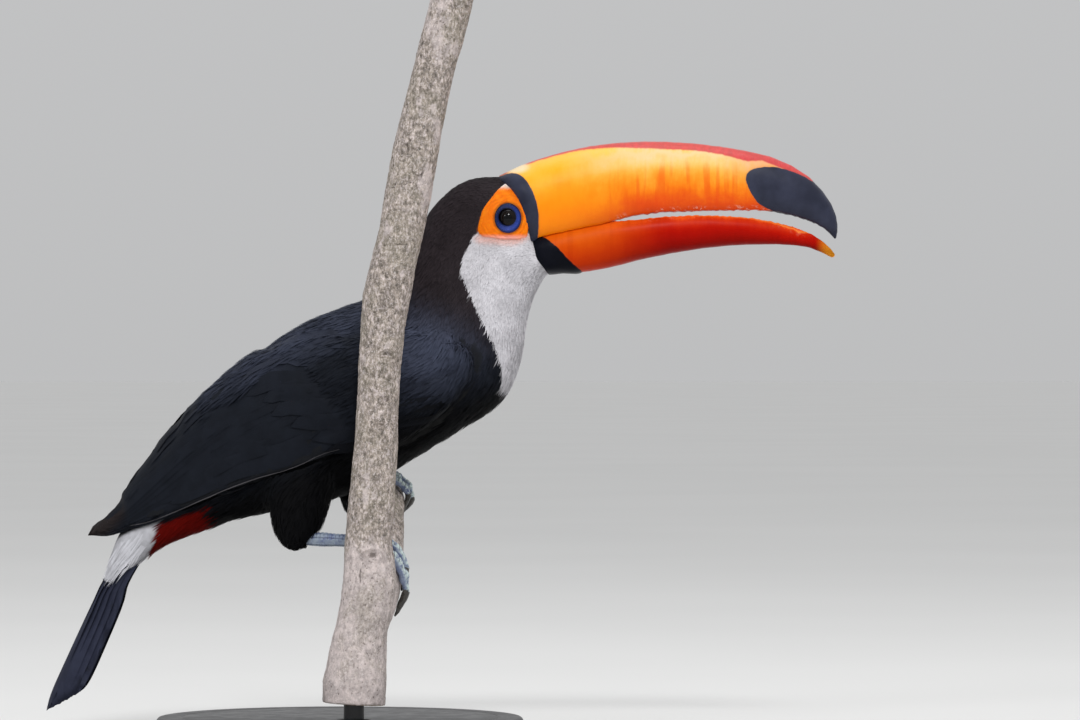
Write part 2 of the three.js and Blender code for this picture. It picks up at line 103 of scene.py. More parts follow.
RUMP = [
    (-84, 220), (-84, 150), (-103, 133.2), (-105.4, 124), (-109.6, 115.4), (-112, 108), (-112, 70),
    (-190, 70), (-190, 220),
]
# Creases in the plumage of the folded wing, each as a line of [x, z], its width and its depth share. The
# depth share also sets how dark the crease's painted shade is.
CREASES = [
    ([(80, 236), (83.4, 231), (83, 224), (80.4, 215.4), (74, 206), (65.4, 196), (55, 186.6), (43, 178.6),
      (24, 172.4)], 3.0, 0.9),
    ([(70, 240.4), (75, 239.4), (79.6, 235.6), (81.4, 230)], 2.0, 1.0),
    ([(36, 193.4), (43.5, 195.8), (51, 198), (58, 199.8), (65, 201.4)], 2.2, 0.55),
    ([(-62, 216), (-54, 221.6), (-39, 229.6), (-22, 236), (-6, 240.4), (14, 242.4)], 2.0, 0.4),
    ([(12, 214), (4, 209), (-8, 208), (-16, 201), (-14, 191), (-4, 185)], 2.4, 0.3),
    ([(72, 224), (64, 221), (56, 216), (48, 217), (42, 211)], 2.2, 0.35),
]
# The black plumage: painted slate-blue sky light round one place and half of it far above the belly's line,
# painted shade in deep black below that line, and brownish on the crown. Each fades between two distances
# in millimetres, or shares for the slate.
SKY_LIT_SLATE = {"x": 54, "z": 244, "wide": 38, "high": 38, "fade": (1.25, 0.1)}
BELLY_SHADE = {"height": 180, "slope": 0.42, "fade": (6, -14)}
SKY_LIT_BACK = {"share": 0.5, "fade": (48, 68)}
CROWN = {"slope": 0.4, "fade": (262, 300)}
CREASE_SHADE = 0.75  # how much darker the deepest crease is
MARKING_EDGE = 0.5  # half the width of the edge between two markings
# Where bare skin shines through the bib's edge below the eye: between which distances from the patch and
# the bib's edge, and between which heights.
BLUSH = {"patch": (-5.5, 0), "height": (306, 300), "bib": (-0.5, 1.5), "share": 0.45}
PATCH_FADE = (-0.8, 0.2)  # the edge of the bare skin's colour, in millimetres inside the patch
FACE_LINE = [
    (94, 341), (98.5, 335.5), (103.9, 331.3), (108.1, 325.3), (111, 319.3), (112.3, 311),
    (113.6, 301.4), (115.4, 295.6), (119.6, 288.2), (125, 282.4), (128, 276),
]
UPPER_BAND = [
    (90, 331), (96.4, 337.6), (101.2, 339.6), (105.8, 339.4), (109.6, 337.4), (113.4, 332.6),
    (116.9, 325.4), (118.8, 317.2), (119.2, 309), (118.6, 302.6), (118, 296), (90, 296),
]
RIDGE_ROOT_HIGHLIGHT = {"x": 105, "z": 343.6, "wide": 9.0, "high": 4.4}  # the pale painted highlight where the bill's ridge begins
LOWER_BAND = [
    (104, 303), (114, 301.8), (118, 301), (121.6, 300.4), (124.8, 299.2), (127.8, 297.4), (130.8, 294.8),
    (134.4, 290.8), (138.4, 286.8), (143.2, 282.8), (145.4, 280.4), (145, 276), (128, 270), (104, 270),
]
TIP_PATCH = [
    (243, 337), (245.4, 341), (250.2, 343), (258.6, 343.6), (267.6, 342), (276.6, 338.8), (286, 334.4),
    (310, 330), (310, 296), (300, 292), (280, 309), (268, 313.6), (257, 318.4), (250.6, 322),
    (246.6, 327.2), (244.4, 331.6),
]
UPPER_TOMIUM = [
    (112, 300.4), (118.8, 301.8), (132, 305.4), (144, 307.8), (156.6, 310.2), (171, 314.4), (186, 316.5),
    (200, 317.4), (215, 318), (244, 318.6), (258.6, 317.4), (267, 315.9), (277, 312.9), (284.4, 310.8),
    (290.4, 307.8), (294.6, 303.6), (298, 300.6),
]
CULMEN = [
    (96, 339), (108, 345), (120, 349.2), (132, 352.5), (144, 355.2), (156, 357), (168, 358.2), (186, 358.8),
    (204, 358.5), (216, 357.6), (228, 355.8), (244, 351.6), (253, 352), (270, 345.3), (282, 337.2),
    (291, 327.6), (297.6, 313.5), (298, 300.6),
]
LOWER_EDGE = [
    (126, 281.4), (142, 279.9), (148, 281.4), (163.8, 283.8), (178.2, 288), (193.2, 291), (207.6, 293.7),
    (222, 295.8), (236.4, 297), (265.8, 297.6), (284.4, 295.2), (290.4, 292.8), (296.4, 290.4),
]
EYE = {"x": 100.9, "z": 312.6, "middle": 17.7, "radius": 7.0}
RING_TALL = 1.13  # the ring's height over its width
# The branch's middle as [y, z], and its x, in metres.
BRANCH_AXIS = MM * np.array([(-52, 78.4), (-36, 94.4), (-16, 115), (2, 132.6), (14, 140.8), (27, 144.4)])
BRANCH_X = 26.3 * MM

# The folded wings' outer form: [top x, top z, bottom x, bottom z, half width] in each row.
WING_FORM = np.array([
    [51, 313.8, 111, 244.2, 31], [43.2, 296.4, 108, 226.8, 37], [30, 275.4, 101.4, 206, 43],
    [9, 263.6, 82.2, 189.6, 47.6], [-21, 253.6, 48, 170.4, 48.8], [-53, 231.4, 10.8, 149.4, 46.8],
    [-81, 209.8, -15, 126, 40.5], [-108, 178, -51, 112.2, 31.5], [-127.8, 150, -93, 103.2, 21],
    [-132, 140.6, -113, 104, 15.6], [-142, 132, -130, 104.4, 10.6], [-150, 125.8, -150, 116.5, 5.6],
    [-158, 120, -166, 108, 3],
])
WING_FULLNESS = 2.25
# Where broad feathers cover the wings, as a side outline.
VANE_ZONE = [
    (30, 186), (12, 200), (-6, 224), (-22, 232), (-60, 206), (-100, 170), (-128, 148), (-175, 132),
    (-175, 112), (-158, 119), (-136, 126), (-116, 132), (-90, 139.5), (-54, 154), (-19, 164.5), (0, 172),
    (12, 176),
]
# How much of each row's height a wing covers: [row, from, to].
WING_REACH = np.array([
    [1.6, 0.42, 0.5], [1.8, 0.35, 0.56], [2, 0.28, 0.6], [2.4, 0.2, 0.64], [2.9, 0.13, 0.7],
    [3.35, 0.11, 0.77], [4, 0.16, 0.89], [4.6, 0.2, 0.96], [4.9, 0.24, 1], [5.45, 0.29, 1],
    [6.4, 0.42, 1], [7.4, 0.5, 1], [8.3, 0.62, 1], [9.8, 0.71, 1], [11, 0.8, 1], [12, 0.85, 1],
])
# The folded tail: [ridge x, ridge z, edge x, edge z, half width] in each row.
TAIL_FORM = np.array([
    [-128, 118, -102, 124, 9], [-143, 93.2, -119.5, 104.2, 12.6], [-149.6, 79.6, -126.4, 87.6, 15.4],
    [-159.6, 57.4, -138.8, 64.6, 18.6], [-168, 38.4, -148.6, 45.6, 20.4], [-173.4, 25.8, -153.8, 34.6, 20],
    [-176.5, 17.5, -158, 28, 19],
])

# ---------------------------------------------------------------- sizes and colours


def tone(code):
    """The linear colour of a six-digit display code."""
    shares = [int(code[i:i + 2], 16) / 255 for i in (0, 2, 4)]
    return tuple(s / 12.92 if s <= 0.04045 else ((s + 0.055) / 1.055) ** 2.4 for s in shares)


def size(name, description, millimetres):
    """A length that a user may change."""
    return FloatProperty(
        name=name, description=description, default=millimetres * MM, min=0.0, unit="LENGTH", precision=5
    )


def colour(name, description, code):
    """A colour that a user may change."""
    return FloatVectorProperty(
        name=name, description=description, default=tone(code), size=3, min=0.0, max=1.0, subtype="COLOR"
    )


def number(name, description, value):
    """A plain factor that a user may change."""
    return FloatProperty(name=name, description=description, default=value, min=0.0)


class PlumageSettings(bpy.types.PropertyGroup):
    """Sizes and colours of the coat."""

    face_length: size("Face feathers", "Length of the tufts round the face", 3.0)
    crown_length: size("Crown feathers", "Length of the tufts on the crown", 5.0)
    neck_length: size("Neck feathers", "Length of the tufts on nape and bib", 8.0)
    body_length: size("Body feathers", "Length of the tufts on breast, mantle and belly", 13.0)
    depth_share: number("Coat depth", "Depth of the coat as a share of its length", 0.16)
    wing_sink: size("Wing coat depth", "Depth of the small feathers' roots on the wings", 1.0)
    puff: size("Puffs", "Height of the soft swellings in the coat", 2.6)
    cover: number("Cover", "How many tufts lie over each place", 4.2)
    crease: size("Creases", "Depth of the creases along the folded wing", 3.0)
    softness: number("Softness", "How far the coat is shaded as one smooth surface", 0.86)
    black: colour("Black", "Wings", "15181f")
    # painted sky light: the black's lighter, bluer shade on neck, shoulders and back
    slate: colour("Slate", "Sides of the neck, shoulders and back", "3f4455")
    # painted shade: the black's deepest shade on belly and thighs
    deep: colour("Deep black", "Belly and thighs", "070709")
    crown: colour("Crown", "Crown and nape", "2a2427")
    bib: colour("Bib", "Throat and breast", "cdcbd0")
    rump: colour("Rump", "Feathers over the tail", "c6c6cc")
    vent: colour("Vent", "Feathers under the tail", "620a05")
    tail: colour("Tail", "Tail feathers", "2a2d3c")
    worn: colour("Worn tips", "Old brown tips of the flight feathers", "251e1c")


class FaceSettings(bpy.types.PropertyGroup):
    """Sizes and colours of the bare skin and the eyes."""

    ring_inner: size("Lid opening", "Radius of the opening between the lids", 4.8)
    ring_outer: size("Ring", "Outer radius of the blue ring", 8.0)
    lid_height: size("Lid fold", "Height of the ring's fold", 0.6)
    wrinkle: size("Wrinkles", "Depth of the folds in the bare skin", 0.22)
    patch: colour("Bare skin", "Skin round the eye", "e66e04")
    ring: colour("Ring", "Lids round the eye", "243986")
    eye: colour("Eye", "Iris and pupil", "050507")


class BillSettings(bpy.types.PropertyGroup):
    """Sizes and colours of the bill."""

    notch: size("Notches", "Depth of the notches in the cutting edges", 0.55)
    ripple: size("Growth ripples", "Height of the growth ripples", 0.12)
    rim: size("Base rim", "How far the black rim stands proud", 0.7)
    orange: colour("Orange", "Side of the upper bill", "f78e06")
    yellow: colour("Yellow", "Upper side, below the ridge", "f6bb46")
    flame: colour("Flame", "Cutting edge of the upper bill", "d94406")
    ridge: colour("Ridge", "Top ridge of the upper bill", "bd3a42")
    red: colour("Red", "Lower bill", "ac0c02")
    black: colour("Black", "Rim at the base and patch on the tip", "1b1d28")


class LegSettings(bpy.types.PropertyGroup):
    """Sizes and colours of the legs and feet."""

    plate: size("Plates", "Length of a horny plate on toe or shank", 2.3)
    relief: size("Relief", "Depth of the seams between plates", 0.6)
    skin: colour("Skin", "Plates of leg and toes", "828da2")
    seam: colour("Seams", "Skin between the plates", "343851")
    claw: colour("Claws", "Horn of the claws", "302e2b")


class PerchSettings(bpy.types.PropertyGroup):
    """Sizes and colours of the perch and its stand."""

    swell: size("Swellings", "Height of the bark's broad swellings", 0.9)
    grain: size("Bark grain", "Height of the bark's grain", 0.35)
    bark: colour("Bark", "Ground colour of the bark", "a2978e")
    lichen: colour("Lichen", "Pale crusts on the bark", "c9bdbb")
    crack: colour("Cracks", "Specks and cracks in the bark", "463c33")
    heartwood: colour("Cut wood", "Wood on the cut ends", "c9a878")
    stand: colour("Stand", "Painted base and rod", "1c1c1f")
    bevel: size("Base edge", "Rounding of the base's upper edge", 2.5)


class StageSettings(bpy.types.PropertyGroup):
    """Camera, lights and floor."""

    distance: size("Camera distance", "From the bird's middle plane", 3600.0)
    aim_x: size("Aim along", "Where the camera looks, along the bird", 120.0)
    aim_z: size("Aim height", "Height of the camera", 228.0)
    lens: number("Lens", "Focal length in millimetres on a 36 mm sensor", 200.0)
    floor: colour("Floor", "Floor and far background", "d6d6d5")
    horizon: number("Horizon light", "Strength of the soft light from the horizon", 0.522)
    zenith: number("Top light", "Strength of the soft light from straight above", 0.88)


def settings(kind):
    """One of the scene's groups of settings."""
    return getattr(bpy.context.scene, f"toucan_{kind}")


def paints(kind, *names):
    """The user's colours of some names."""
    return [tuple(getattr(settings(kind), name)) for name in names]


# ---------------------------------------------------------------- numbers and fields


def smoothstep(low, high, value):
    """From 0 at low to 1 at high, with soft ends. Low may be the larger."""
    share = np.clip((value - low) / (high - low), 0.0, 1.0)
    return share * share * (3 - 2 * share)


def unit(vectors):
    """Vectors at the length of one."""
    return vectors / np.maximum(np.linalg.norm(vectors, axis=-1, keepdims=True), 1e-9)


def blended(first, second, share):
    """Colours or places part of the way from the first to the second, as share says for each."""
    return first + (np.asarray(second) - first) * share[:, None]


def between(before, here, after, beyond, t):
    """The smooth way from here to after, at the share t of it."""
    bend = (2 * before - 5 * here + 4 * after - beyond) * t**2
    twist = (3 * here - before - 3 * after + beyond) * t**3
    return 0.5 * (2 * here + (after - before) * t + bend + twist)


def rounded(outline):
    """A closed outline with its corners rounded, in five steps from corner to corner."""
    corners = [np.roll(np.array(outline, float), turn, 0) for turn in (1, 0, -1, -2)]
    return np.stack([between(*corners, i / 5) for i in range(5)], 1).reshape(-1, 2)


def line_gap(line, x, z):
    """How far places are from a line of [x, z], in millimetres, in a side view."""
    nearest = np.full(x.shape, np.inf)
    for (x0, z0), (x1, z1) in zip(line[:-1], line[1:]):
        run, rise = x1 - x0, z1 - z0
        share = np.clip(((x - x0) * run + (z - z0) * rise) / (run**2 + rise**2 + 1e-9), 0, 1)
        nearest = np.minimum(nearest, np.hypot(x - x0 - share * run, z - z0 - share * rise))
    return nearest


def inside_by(outline, x, z):
    """How far, in millimetres, places lie inside a side outline. It is negative outside."""
    ring = rounded(outline)
    ring = np.concatenate([ring, ring[:1]])
    inside = np.zeros(x.shape, bool)
    for (x0, z0), (x1, z1) in zip(ring[:-1], ring[1:]):
        if z1 != z0:
            inside ^= ((z0 > z) != (z1 > z)) & (x < x0 + (z - z0) * (x1 - x0) / (z1 - z0))
    nearest = line_gap(ring, x, z)
    return np.where(inside, nearest, -nearest)


def within(outline, places):
    """How far, in millimetres, places in metres lie inside a side outline."""
    return inside_by(outline, places[:, 0] / MM, places[:, 2] / MM)


def line_at(line, x):
    """The height of a line of [x, z] at each x."""
    pairs = np.array(sorted(line))
    return np.interp(x, pairs[:, 0], pairs[:, 1])


def line_x(line, z):
    """How far forward a line of [x, z] stands at each height."""
    pairs = np.array(sorted((z_at, x_at) for x_at, z_at in line))
    return np.interp(z, pairs[:, 0], pairs[:, 1])


def lumps(places, scale, seed=0.0):
    """Smooth noise from -1 to 1 at places, with lumps of about the scale in metres."""
    offset = np.array([seed * 7.1, seed * 3.3, seed * 5.7])
    return np.array([noise.noise(Vector(p)) for p in np.asarray(places) / scale + offset])


def puffs(places, scale):
    """Rounded swellings about the scale across, from 0 in the creases between them to 1."""
    warped = places / scale + 0.25 * lumps(places, scale, 4)[:, None]
    nearest = np.array([noise.voronoi(Vector(p))[0][0] for p in warped])
    return 1 - np.clip(nearest, 0, 1) ** 2


def rows_at(rows, places):
    """Smooth values between rows of numbers, at places counted in rows."""
    places = np.clip(places, 0, len(rows) - 1.001)
    i = np.floor(places).astype(int)
    near = [rows[np.clip(i + step, 0, len(rows) - 1)] for step in (-1, 0, 1, 2)]
    return between(*near, (places - i)[..., None])


THIGH_WAY = np.array([-0.25, 0.0, -1.3])  # the lie of the coat on the thighs
THIGH_REACH = (1.35, 0.9)  # where that lie begins and is in full, in half sizes of the thigh


def lie_of_coat(places):
    """The direction in which feathers lie at places on the body."""
    middles = (LIE_LINE[1:] + LIE_LINE[:-1]) / 2
    runs = unit(LIE_LINE[1:] - LIE_LINE[:-1])
    gaps = np.linalg.norm(places[:, None, ::2] - middles[None], axis=2)
    weights = gaps**-4.0
    flat = (weights[..., None] * runs[None]).sum(1) / weights.sum(1)[:, None]
    lie = np.stack([flat[:, 0], np.zeros(len(places)), flat[:, 1]], 1)
    for side in SIDES:
        low, high = (np.array(corner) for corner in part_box(f"thigh_{side}"))
        middle = (low + high) / 2
        reach = np.abs((places - middle) / (high - low) * 2)
        share = smoothstep(*THIGH_REACH, reach.max(axis=1)) * smoothstep(high[2], middle[2], places[:, 2])
        lie = blended(lie, THIGH_WAY, share)
    return unit(lie)


MAP_ALONG, MAP_ROUND = (0.04, 0.9), (0.03, 0.94)  # where the unrolled skin starts on the map, and its size


def unwrap(places):
    """Places on the unrolled shape of the skin: along the body, and round it."""
    runs = LIE_LINE[1:] - LIE_LINE[:-1]
    spans = np.linalg.norm(runs, axis=1)
    starts = np.concatenate([[0], np.cumsum(spans)])
    best = np.full(len(places), np.inf)
    along = np.zeros(len(places))
    height = np.zeros(len(places))
    for start, run, span, base in zip(LIE_LINE[:-1], runs, spans, starts):
        offset = places[:, ::2] - start
        share = offset @ run / span**2
        clipped = np.clip(share, 0, 1)
        gap = np.linalg.norm(offset - clipped[:, None] * run, axis=1)
        nearer = gap < best
        best = np.where(nearer, gap, best)
        along = np.where(nearer, base + share * span, along)
        height = np.where(nearer, (offset @ np.array([-run[1], run[0]])) / span, height)
    turn = np.arctan2(places[:, 1], -height) / (2 * math.pi) + 0.5
    shares = (along / starts[-1], turn)
    return np.stack([low + size * share for (low, size), share in zip((MAP_ALONG, MAP_ROUND), shares)], 1)


def lie_height(places):
    """How high places stand above the line of the coat's lie, in metres."""
    return places[:, 2] - np.interp(places[:, 0], *LIE_LINE[np.argsort(LIE_LINE[:, 0])].T)


def black_at(places):
    """The black's colour at places: painted sky light on neck, shoulders and back, and painted shade below.
    """
    black, slate, deep, crown = paints("plumage", "black", "slate", "deep", "crown")
    x, _, z = (places / MM).T
    above = z - BELLY_SHADE["height"] - BELLY_SHADE["slope"] * x
    away = np.hypot((x - SKY_LIT_SLATE["x"]) / SKY_LIT_SLATE["wide"], (z - SKY_LIT_SLATE["z"]) / SKY_LIT_SLATE["high"])
    share = np.maximum(smoothstep(*SKY_LIT_SLATE["fade"], away), SKY_LIT_BACK["share"] * smoothstep(*SKY_LIT_BACK["fade"], above))
    paint = blended(np.array(black), slate, share)
    paint = blended(paint, deep, smoothstep(*BELLY_SHADE["fade"], above))
    # painted shade in the creases along the folded wing
    paint *= (1 - CREASE_SHADE * crease_at(x, z))[:, None]
    return blended(paint, crown, smoothstep(*CROWN["fade"], z + CROWN["slope"] * x))


def crease_at(x, z):
    """From 0 on smooth plumage to 1 in the deepest of the creases along the folded wing."""
    depth = np.zeros(x.shape)
    for line, wide, deep in CREASES:
        depth = np.maximum(depth, deep * np.exp(-((line_gap(line, x, z) / wide) ** 2)))
    return depth


def markings(places):
    """The colour of skin and coat at places on the body."""
    bib, rump, vent = paints("plumage", "bib", "rump", "vent")
    bare_skin, = paints("face", "patch")
    # the black, with its painted sky light and shade
    paint = black_at(places)
    body = 1 - by_wing(places)
    for outline, paler, part in ((RUMP, rump, body), (VENT, vent, body), (BIB, bib, 1)):
        inside = smoothstep(-MARKING_EDGE, MARKING_EDGE, within(outline, places))
        paint = blended(paint, paler, part * inside)
    patch = within(EYE_PATCH, places)
    blush = smoothstep(*BLUSH["patch"], patch) * smoothstep(*BLUSH["height"], places[:, 2] / MM)
    blush *= smoothstep(*BLUSH["bib"], within(BIB, places))
    paint = blended(paint, bare_skin, BLUSH["share"] * blush)
    return blended(paint, bare_skin, smoothstep(*PATCH_FADE, patch))


# ---------------------------------------------------------------- meshes


def new_mesh(name, points, faces):
    """A mesh from points and from blocks of faces, each block with one number of corners."""
    mesh = bpy.data.meshes.new(name)
    blocks = [np.asarray(block, np.int64) for block in faces if len(block)]
    corners = np.concatenate([block.ravel() for block in blocks])
    totals = np.concatenate([np.full(len(block), block.shape[1]) for block in blocks])
    mesh.vertices.add(len(points))
    mesh.vertices.foreach_set("co", np.asarray(points, np.float32).ravel())
    mesh.loops.add(len(corners))
    mesh.loops.foreach_set("vertex_index", corners.astype(np.int32))
    mesh.polygons.add(len(totals))
    starts = np.concatenate([[0], np.cumsum(totals)[:-1]])
    mesh.polygons.foreach_set("loop_start", starts.astype(np.int32))
    mesh.polygons.foreach_set("use_smooth", np.full(len(totals), True))
    mesh.update(calc_edges=True)
    mesh.validate()
    return mesh


def corner_points(mesh):
    """The number of the point at each corner of a mesh's faces."""
    corners = np.zeros(len(mesh.loops), np.int32)
    mesh.loops.foreach_get("vertex_index", corners)
    return corners


def give_map(mesh, flat):
    """A UV map from one flat place per vertex."""
    layer = mesh.uv_layers.new(name="OFBake")
    layer.data.foreach_set("uv", flat[corner_points(mesh)].astype(np.float32).ravel())


def give_colour(mesh, paint):
    """A colour at each vertex, for a material to read."""
    layer = mesh.color_attributes.new(name="tint", type="FLOAT_COLOR", domain="POINT")
    rgba = np.concatenate([paint, np.ones((len(paint), 1))], 1)
    layer.data.foreach_set("color", rgba.astype(np.float32).ravel())


def give_values(mesh, name, values):
    """A number at each vertex, for a material to read."""
    layer = mesh.attributes.new(name=name, type="FLOAT", domain="POINT")
    layer.data.foreach_set("value", np.asarray(values, np.float32))


def vertex_array(mesh, what="co"):
    """One vector for each of a mesh's points: its place, or what else is asked for."""
    flat = np.zeros(len(mesh.vertices) * 3, np.float32)
    mesh.vertices.foreach_get(what, flat)
    return flat.reshape(-1, 3).astype(float)


def surface_of(mesh):
    """A mesh's points and its normals at them."""
    return vertex_array(mesh), vertex_array(mesh, "normal")


def put_points(mesh, points):
    mesh.vertices.foreach_set("co", points.astype(np.float32).ravel())
    mesh.update()


def soften(mesh, tops, share):
    """Shades a mesh partly as the smooth surface under it, whose normals are tops."""
    mixed = unit(vertex_array(mesh, "normal") * (1 - share) + tops * share)
    mesh.normals_split_custom_set_from_vertices(mixed.astype(np.float32))


def eased_normals(mesh, rounds):
    """The normals at a mesh's points, averaged with their neighbours' over and over."""
    ends = np.zeros(len(mesh.edges) * 2, np.int32)
    mesh.edges.foreach_get("vertices", ends)
    ends = ends.reshape(-1, 2)
    here, there = np.concatenate([ends, ends[:, ::-1]]).T
    normals = vertex_array(mesh, "normal")
    for _ in range(rounds):
        around = [np.bincount(here, channel[there], len(normals)) for channel in normals.T]
        normals = unit(normals + np.stack(around, 1))
    return normals


def ring_faces(rings, around):
    """The faces of a sheet of rings, each with so many points around, and the numbers of its points."""
    index = np.arange(rings * around).reshape(rings, around)
    after = np.roll(index, -1, 1)
    return np.stack([index[:-1], after[:-1], after[1:], index[1:]], -1).reshape(-1, 4), index


def placed(name, data):
    """A new object in the scene."""
    made = bpy.data.objects.new(name, data)
    bpy.context.scene.collection.objects.link(made)
    return made


def add_piece(name, mesh, material, slot, replaced=()):
    """A visible piece of the model, on its body. The slot is not used."""
    mesh.materials.clear()
    mesh.materials.append(material)
    mesh.polygons.foreach_set("material_index", np.zeros(len(mesh.polygons), np.int32))
    piece = placed(name, mesh)
    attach(piece, "root")
    if replaced:
        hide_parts(*replaced)
    return piece


def node_copy(nodes, swell=0.0):
    """One mesh data block of several nodes, each a closed body swollen a little."""
    shape = bmesh.new()
    for node in nodes:
        shape.from_mesh(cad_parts[node].data)
    bmesh.ops.remove_doubles(shape, verts=shape.verts, dist=0.002 * MM)
    if swell:
        shape.normal_update()
        for vertex in shape.verts:
            vertex.co += vertex.normal * swell
    mesh = bpy.data.meshes.new("solid")
    shape.to_mesh(mesh)
    shape.free()
    return mesh


def refined(nodes, voxel, smoothing, swell=0.0):
    """A fine, even, closed mesh round some nodes."""
    worker = placed("worker", node_copy(nodes, swell))
    remesh = worker.modifiers.new("fine", "REMESH")
    remesh.mode = "VOXEL"
    remesh.voxel_size = voxel
    smooth = worker.modifiers.new("smooth", "SMOOTH")
    smooth.factor = 0.5
    smooth.iterations = smoothing
    mesh = bpy.data.meshes.new_from_object(worker.evaluated_get(bpy.context.evaluated_depsgraph_get()))
    bpy.data.objects.remove(worker)
    mesh.polygons.foreach_set("use_smooth", np.full(len(mesh.polygons), True))
    return mesh


class Surface:
    """A mesh that feathers are laid on."""

    def __init__(self, mesh):
        self.points = vertex_array(mesh)
        self.normals = vertex_array(mesh, "normal")
        self.faces = [tuple(face.vertices) for face in mesh.polygons]
        self.tree = BVHTree.FromPolygons([Vector(p) for p in self.points], self.faces)

    def nearest(self, place):
        """The nearest place on the surface, and the normal there."""
        spot, normal, _, _ = self.tree.find_nearest(Vector(place))
        return np.array(spot), np.array(normal)

    def normals_at(self, places):
        """The smooth normals of the surface nearest to places."""
        found = [self.tree.find_nearest(Vector(place))[2] for place in places]
        return unit(np.array([self.normals[list(self.faces[index])].mean(axis=0) for index in found]))

    def tucked(self, places, depth):
        """Places, with those that are not below the surface by a depth moved in to that depth."""
        moved = places.copy()
        for n, place in enumerate(places):
            spot, normal = self.nearest(place)
            if (place - spot) @ normal > -depth:
                moved[n] = spot - normal * depth
        return moved

    def from_side(self, x, z, side):
        """The outermost place on one side of the bird at x and z, or None."""
        spot, _, _, _ = self.tree.ray_cast(Vector((x, side * 0.2, z)), Vector((0, -side, 0)))
        return None if spot is None else np.array(spot)

    def sample(self, density, seed):
        """Random places on the surface, so many to a square metre as density gives for each face."""
        rng = np.random.default_rng(seed)
        quads = np.array([face if len(face) == 4 else (*face, face[0]) for face in self.faces])
        a, b, c, d = (self.points[quads[:, k]] for k in range(4))
        areas = 0.5 * np.linalg.norm(np.cross(c - a, d - b), axis=1)
        centres = (a + b + c + d) / 4
        counts = np.floor(density(centres) * areas + rng.random(len(quads))).astype(int)
        pick = np.repeat(np.arange(len(quads)), counts)
        s, t = rng.random((2, len(pick), 1))
        spots = (1 - s) * ((1 - t) * a[pick] + t * d[pick]) + s * ((1 - t) * b[pick] + t * c[pick])
        normals = unit(self.normals[quads[pick]].mean(axis=1))
        return spots, normals


FLESH = ["head", "neck", "trunk", "tail_coverts", "thigh_right", "thigh_left"]
FACE_PARTS = ["bill_upper", "bill_lower", "eye_right", "eye_left"]
WINGS = ["wing_right", "wing_left"]
AHEAD = 5  # millimetres that the skin runs on ahead of the face line
BY_WING = (4 * MM, 1.5 * MM)  # where a place begins to count as the wing's, and where it does in full
ROOT_DEPTH = 0.1 * MM  # how far the tufts' roots sink in, and how much deeper the ground lies for them
# The soft puffs in the coat: their size, the level between swelling and hollow, their share off the wings,
# and the heights between which they set in below the head.
PUFF = {"scale": 17 * MM, "middle": 0.7, "body": 0.35, "height": (300, 250)}


def fused(nodes, smoothing=14):
    """The smooth form of some nodes, cut off just ahead of the face line."""
    mesh = refined(nodes, 1.5 * MM, smoothing, swell=0.45 * MM)
    shape = bmesh.new()
    shape.from_mesh(mesh)
    middles = np.array([face.calc_center_median() for face in shape.faces]) / MM
    ahead = middles[:, 0] > line_x(FACE_LINE, middles[:, 2]) + AHEAD
    bmesh.ops.delete(shape, geom=[f for f, cut in zip(shape.faces, ahead) if cut], context="FACES")
    bmesh.ops.holes_fill(shape, edges=[e for e in shape.edges if e.is_boundary])
    bmesh.ops.triangulate(shape, faces=[f for f in shape.faces if len(f.verts) > 4])
    shape.to_mesh(mesh)
    shape.free()
    return mesh


@functools.lru_cache(maxsize=None)
def body_form():
    """The smooth form of head, neck, trunk and thighs, running on under the bill and over the eyes."""
    return fused(FLESH + FACE_PARTS)


@functools.lru_cache(maxsize=None)
def body_surface():
    return Surface(body_form())


@functools.lru_cache(maxsize=None)
def wing_solids():
    mesh = node_copy(WINGS)
    return BVHTree.FromPolygons([v.co for v in mesh.vertices], [tuple(f.vertices) for f in mesh.polygons])


def wing_gap(places):
    """How far places are from the wings' solids."""
    return np.array([wing_solids().find_nearest(Vector(place))[3] for place in places])


def by_wing(places):
    """From 0, well clear of the wings, to 1 close to them."""
    return smoothstep(*BY_WING, wing_gap(places))


@functools.lru_cache(maxsize=None)
def coat_surface():
    """What the small feathers lie on: body and wings in one form, in soft puffs, below the coat's depth."""
    plumage = settings("plumage")
    mesh = fused(FLESH + FACE_PARTS + WINGS, 22)
    places, normals = surface_of(mesh)
    wing = by_wing(places)
    depth = coat_length(places) * plumage.depth_share * (1 - wing) + plumage.wing_sink * wing + ROOT_DEPTH
    x, _, z = (places / MM).T
    depth += plumage.crease * crease_at(x, z)
    share = smoothstep(*PUFF["height"], z) * (PUFF["body"] + (1 - PUFF["body"]) * wing)
    puff = plumage.puff * share * (puffs(places, PUFF["scale"]) - PUFF["middle"])
    put_points(mesh, places + normals * (puff - depth)[:, None])
    return Surface(mesh)


COAT_MARKS = {"face": 22, "crown": 34, "neck": 70, "body": 130}  # each length's distance from the eye


def from_eye(places, tall=1.0):
    """How far places are from the eye's middle in a side view, in millimetres."""
    x, _, z = (places / MM).T
    return np.hypot(x - EYE["x"], (z - EYE["z"]) / tall)


def coat_length(places):
    """How long the tufts are at places on the body."""
    lengths = [getattr(settings("plumage"), f"{part}_length") for part in COAT_MARKS]
    return np.interp(from_eye(places), list(COAT_MARKS.values()), lengths)


# ---------------------------------------------------------------- tufts and vanes


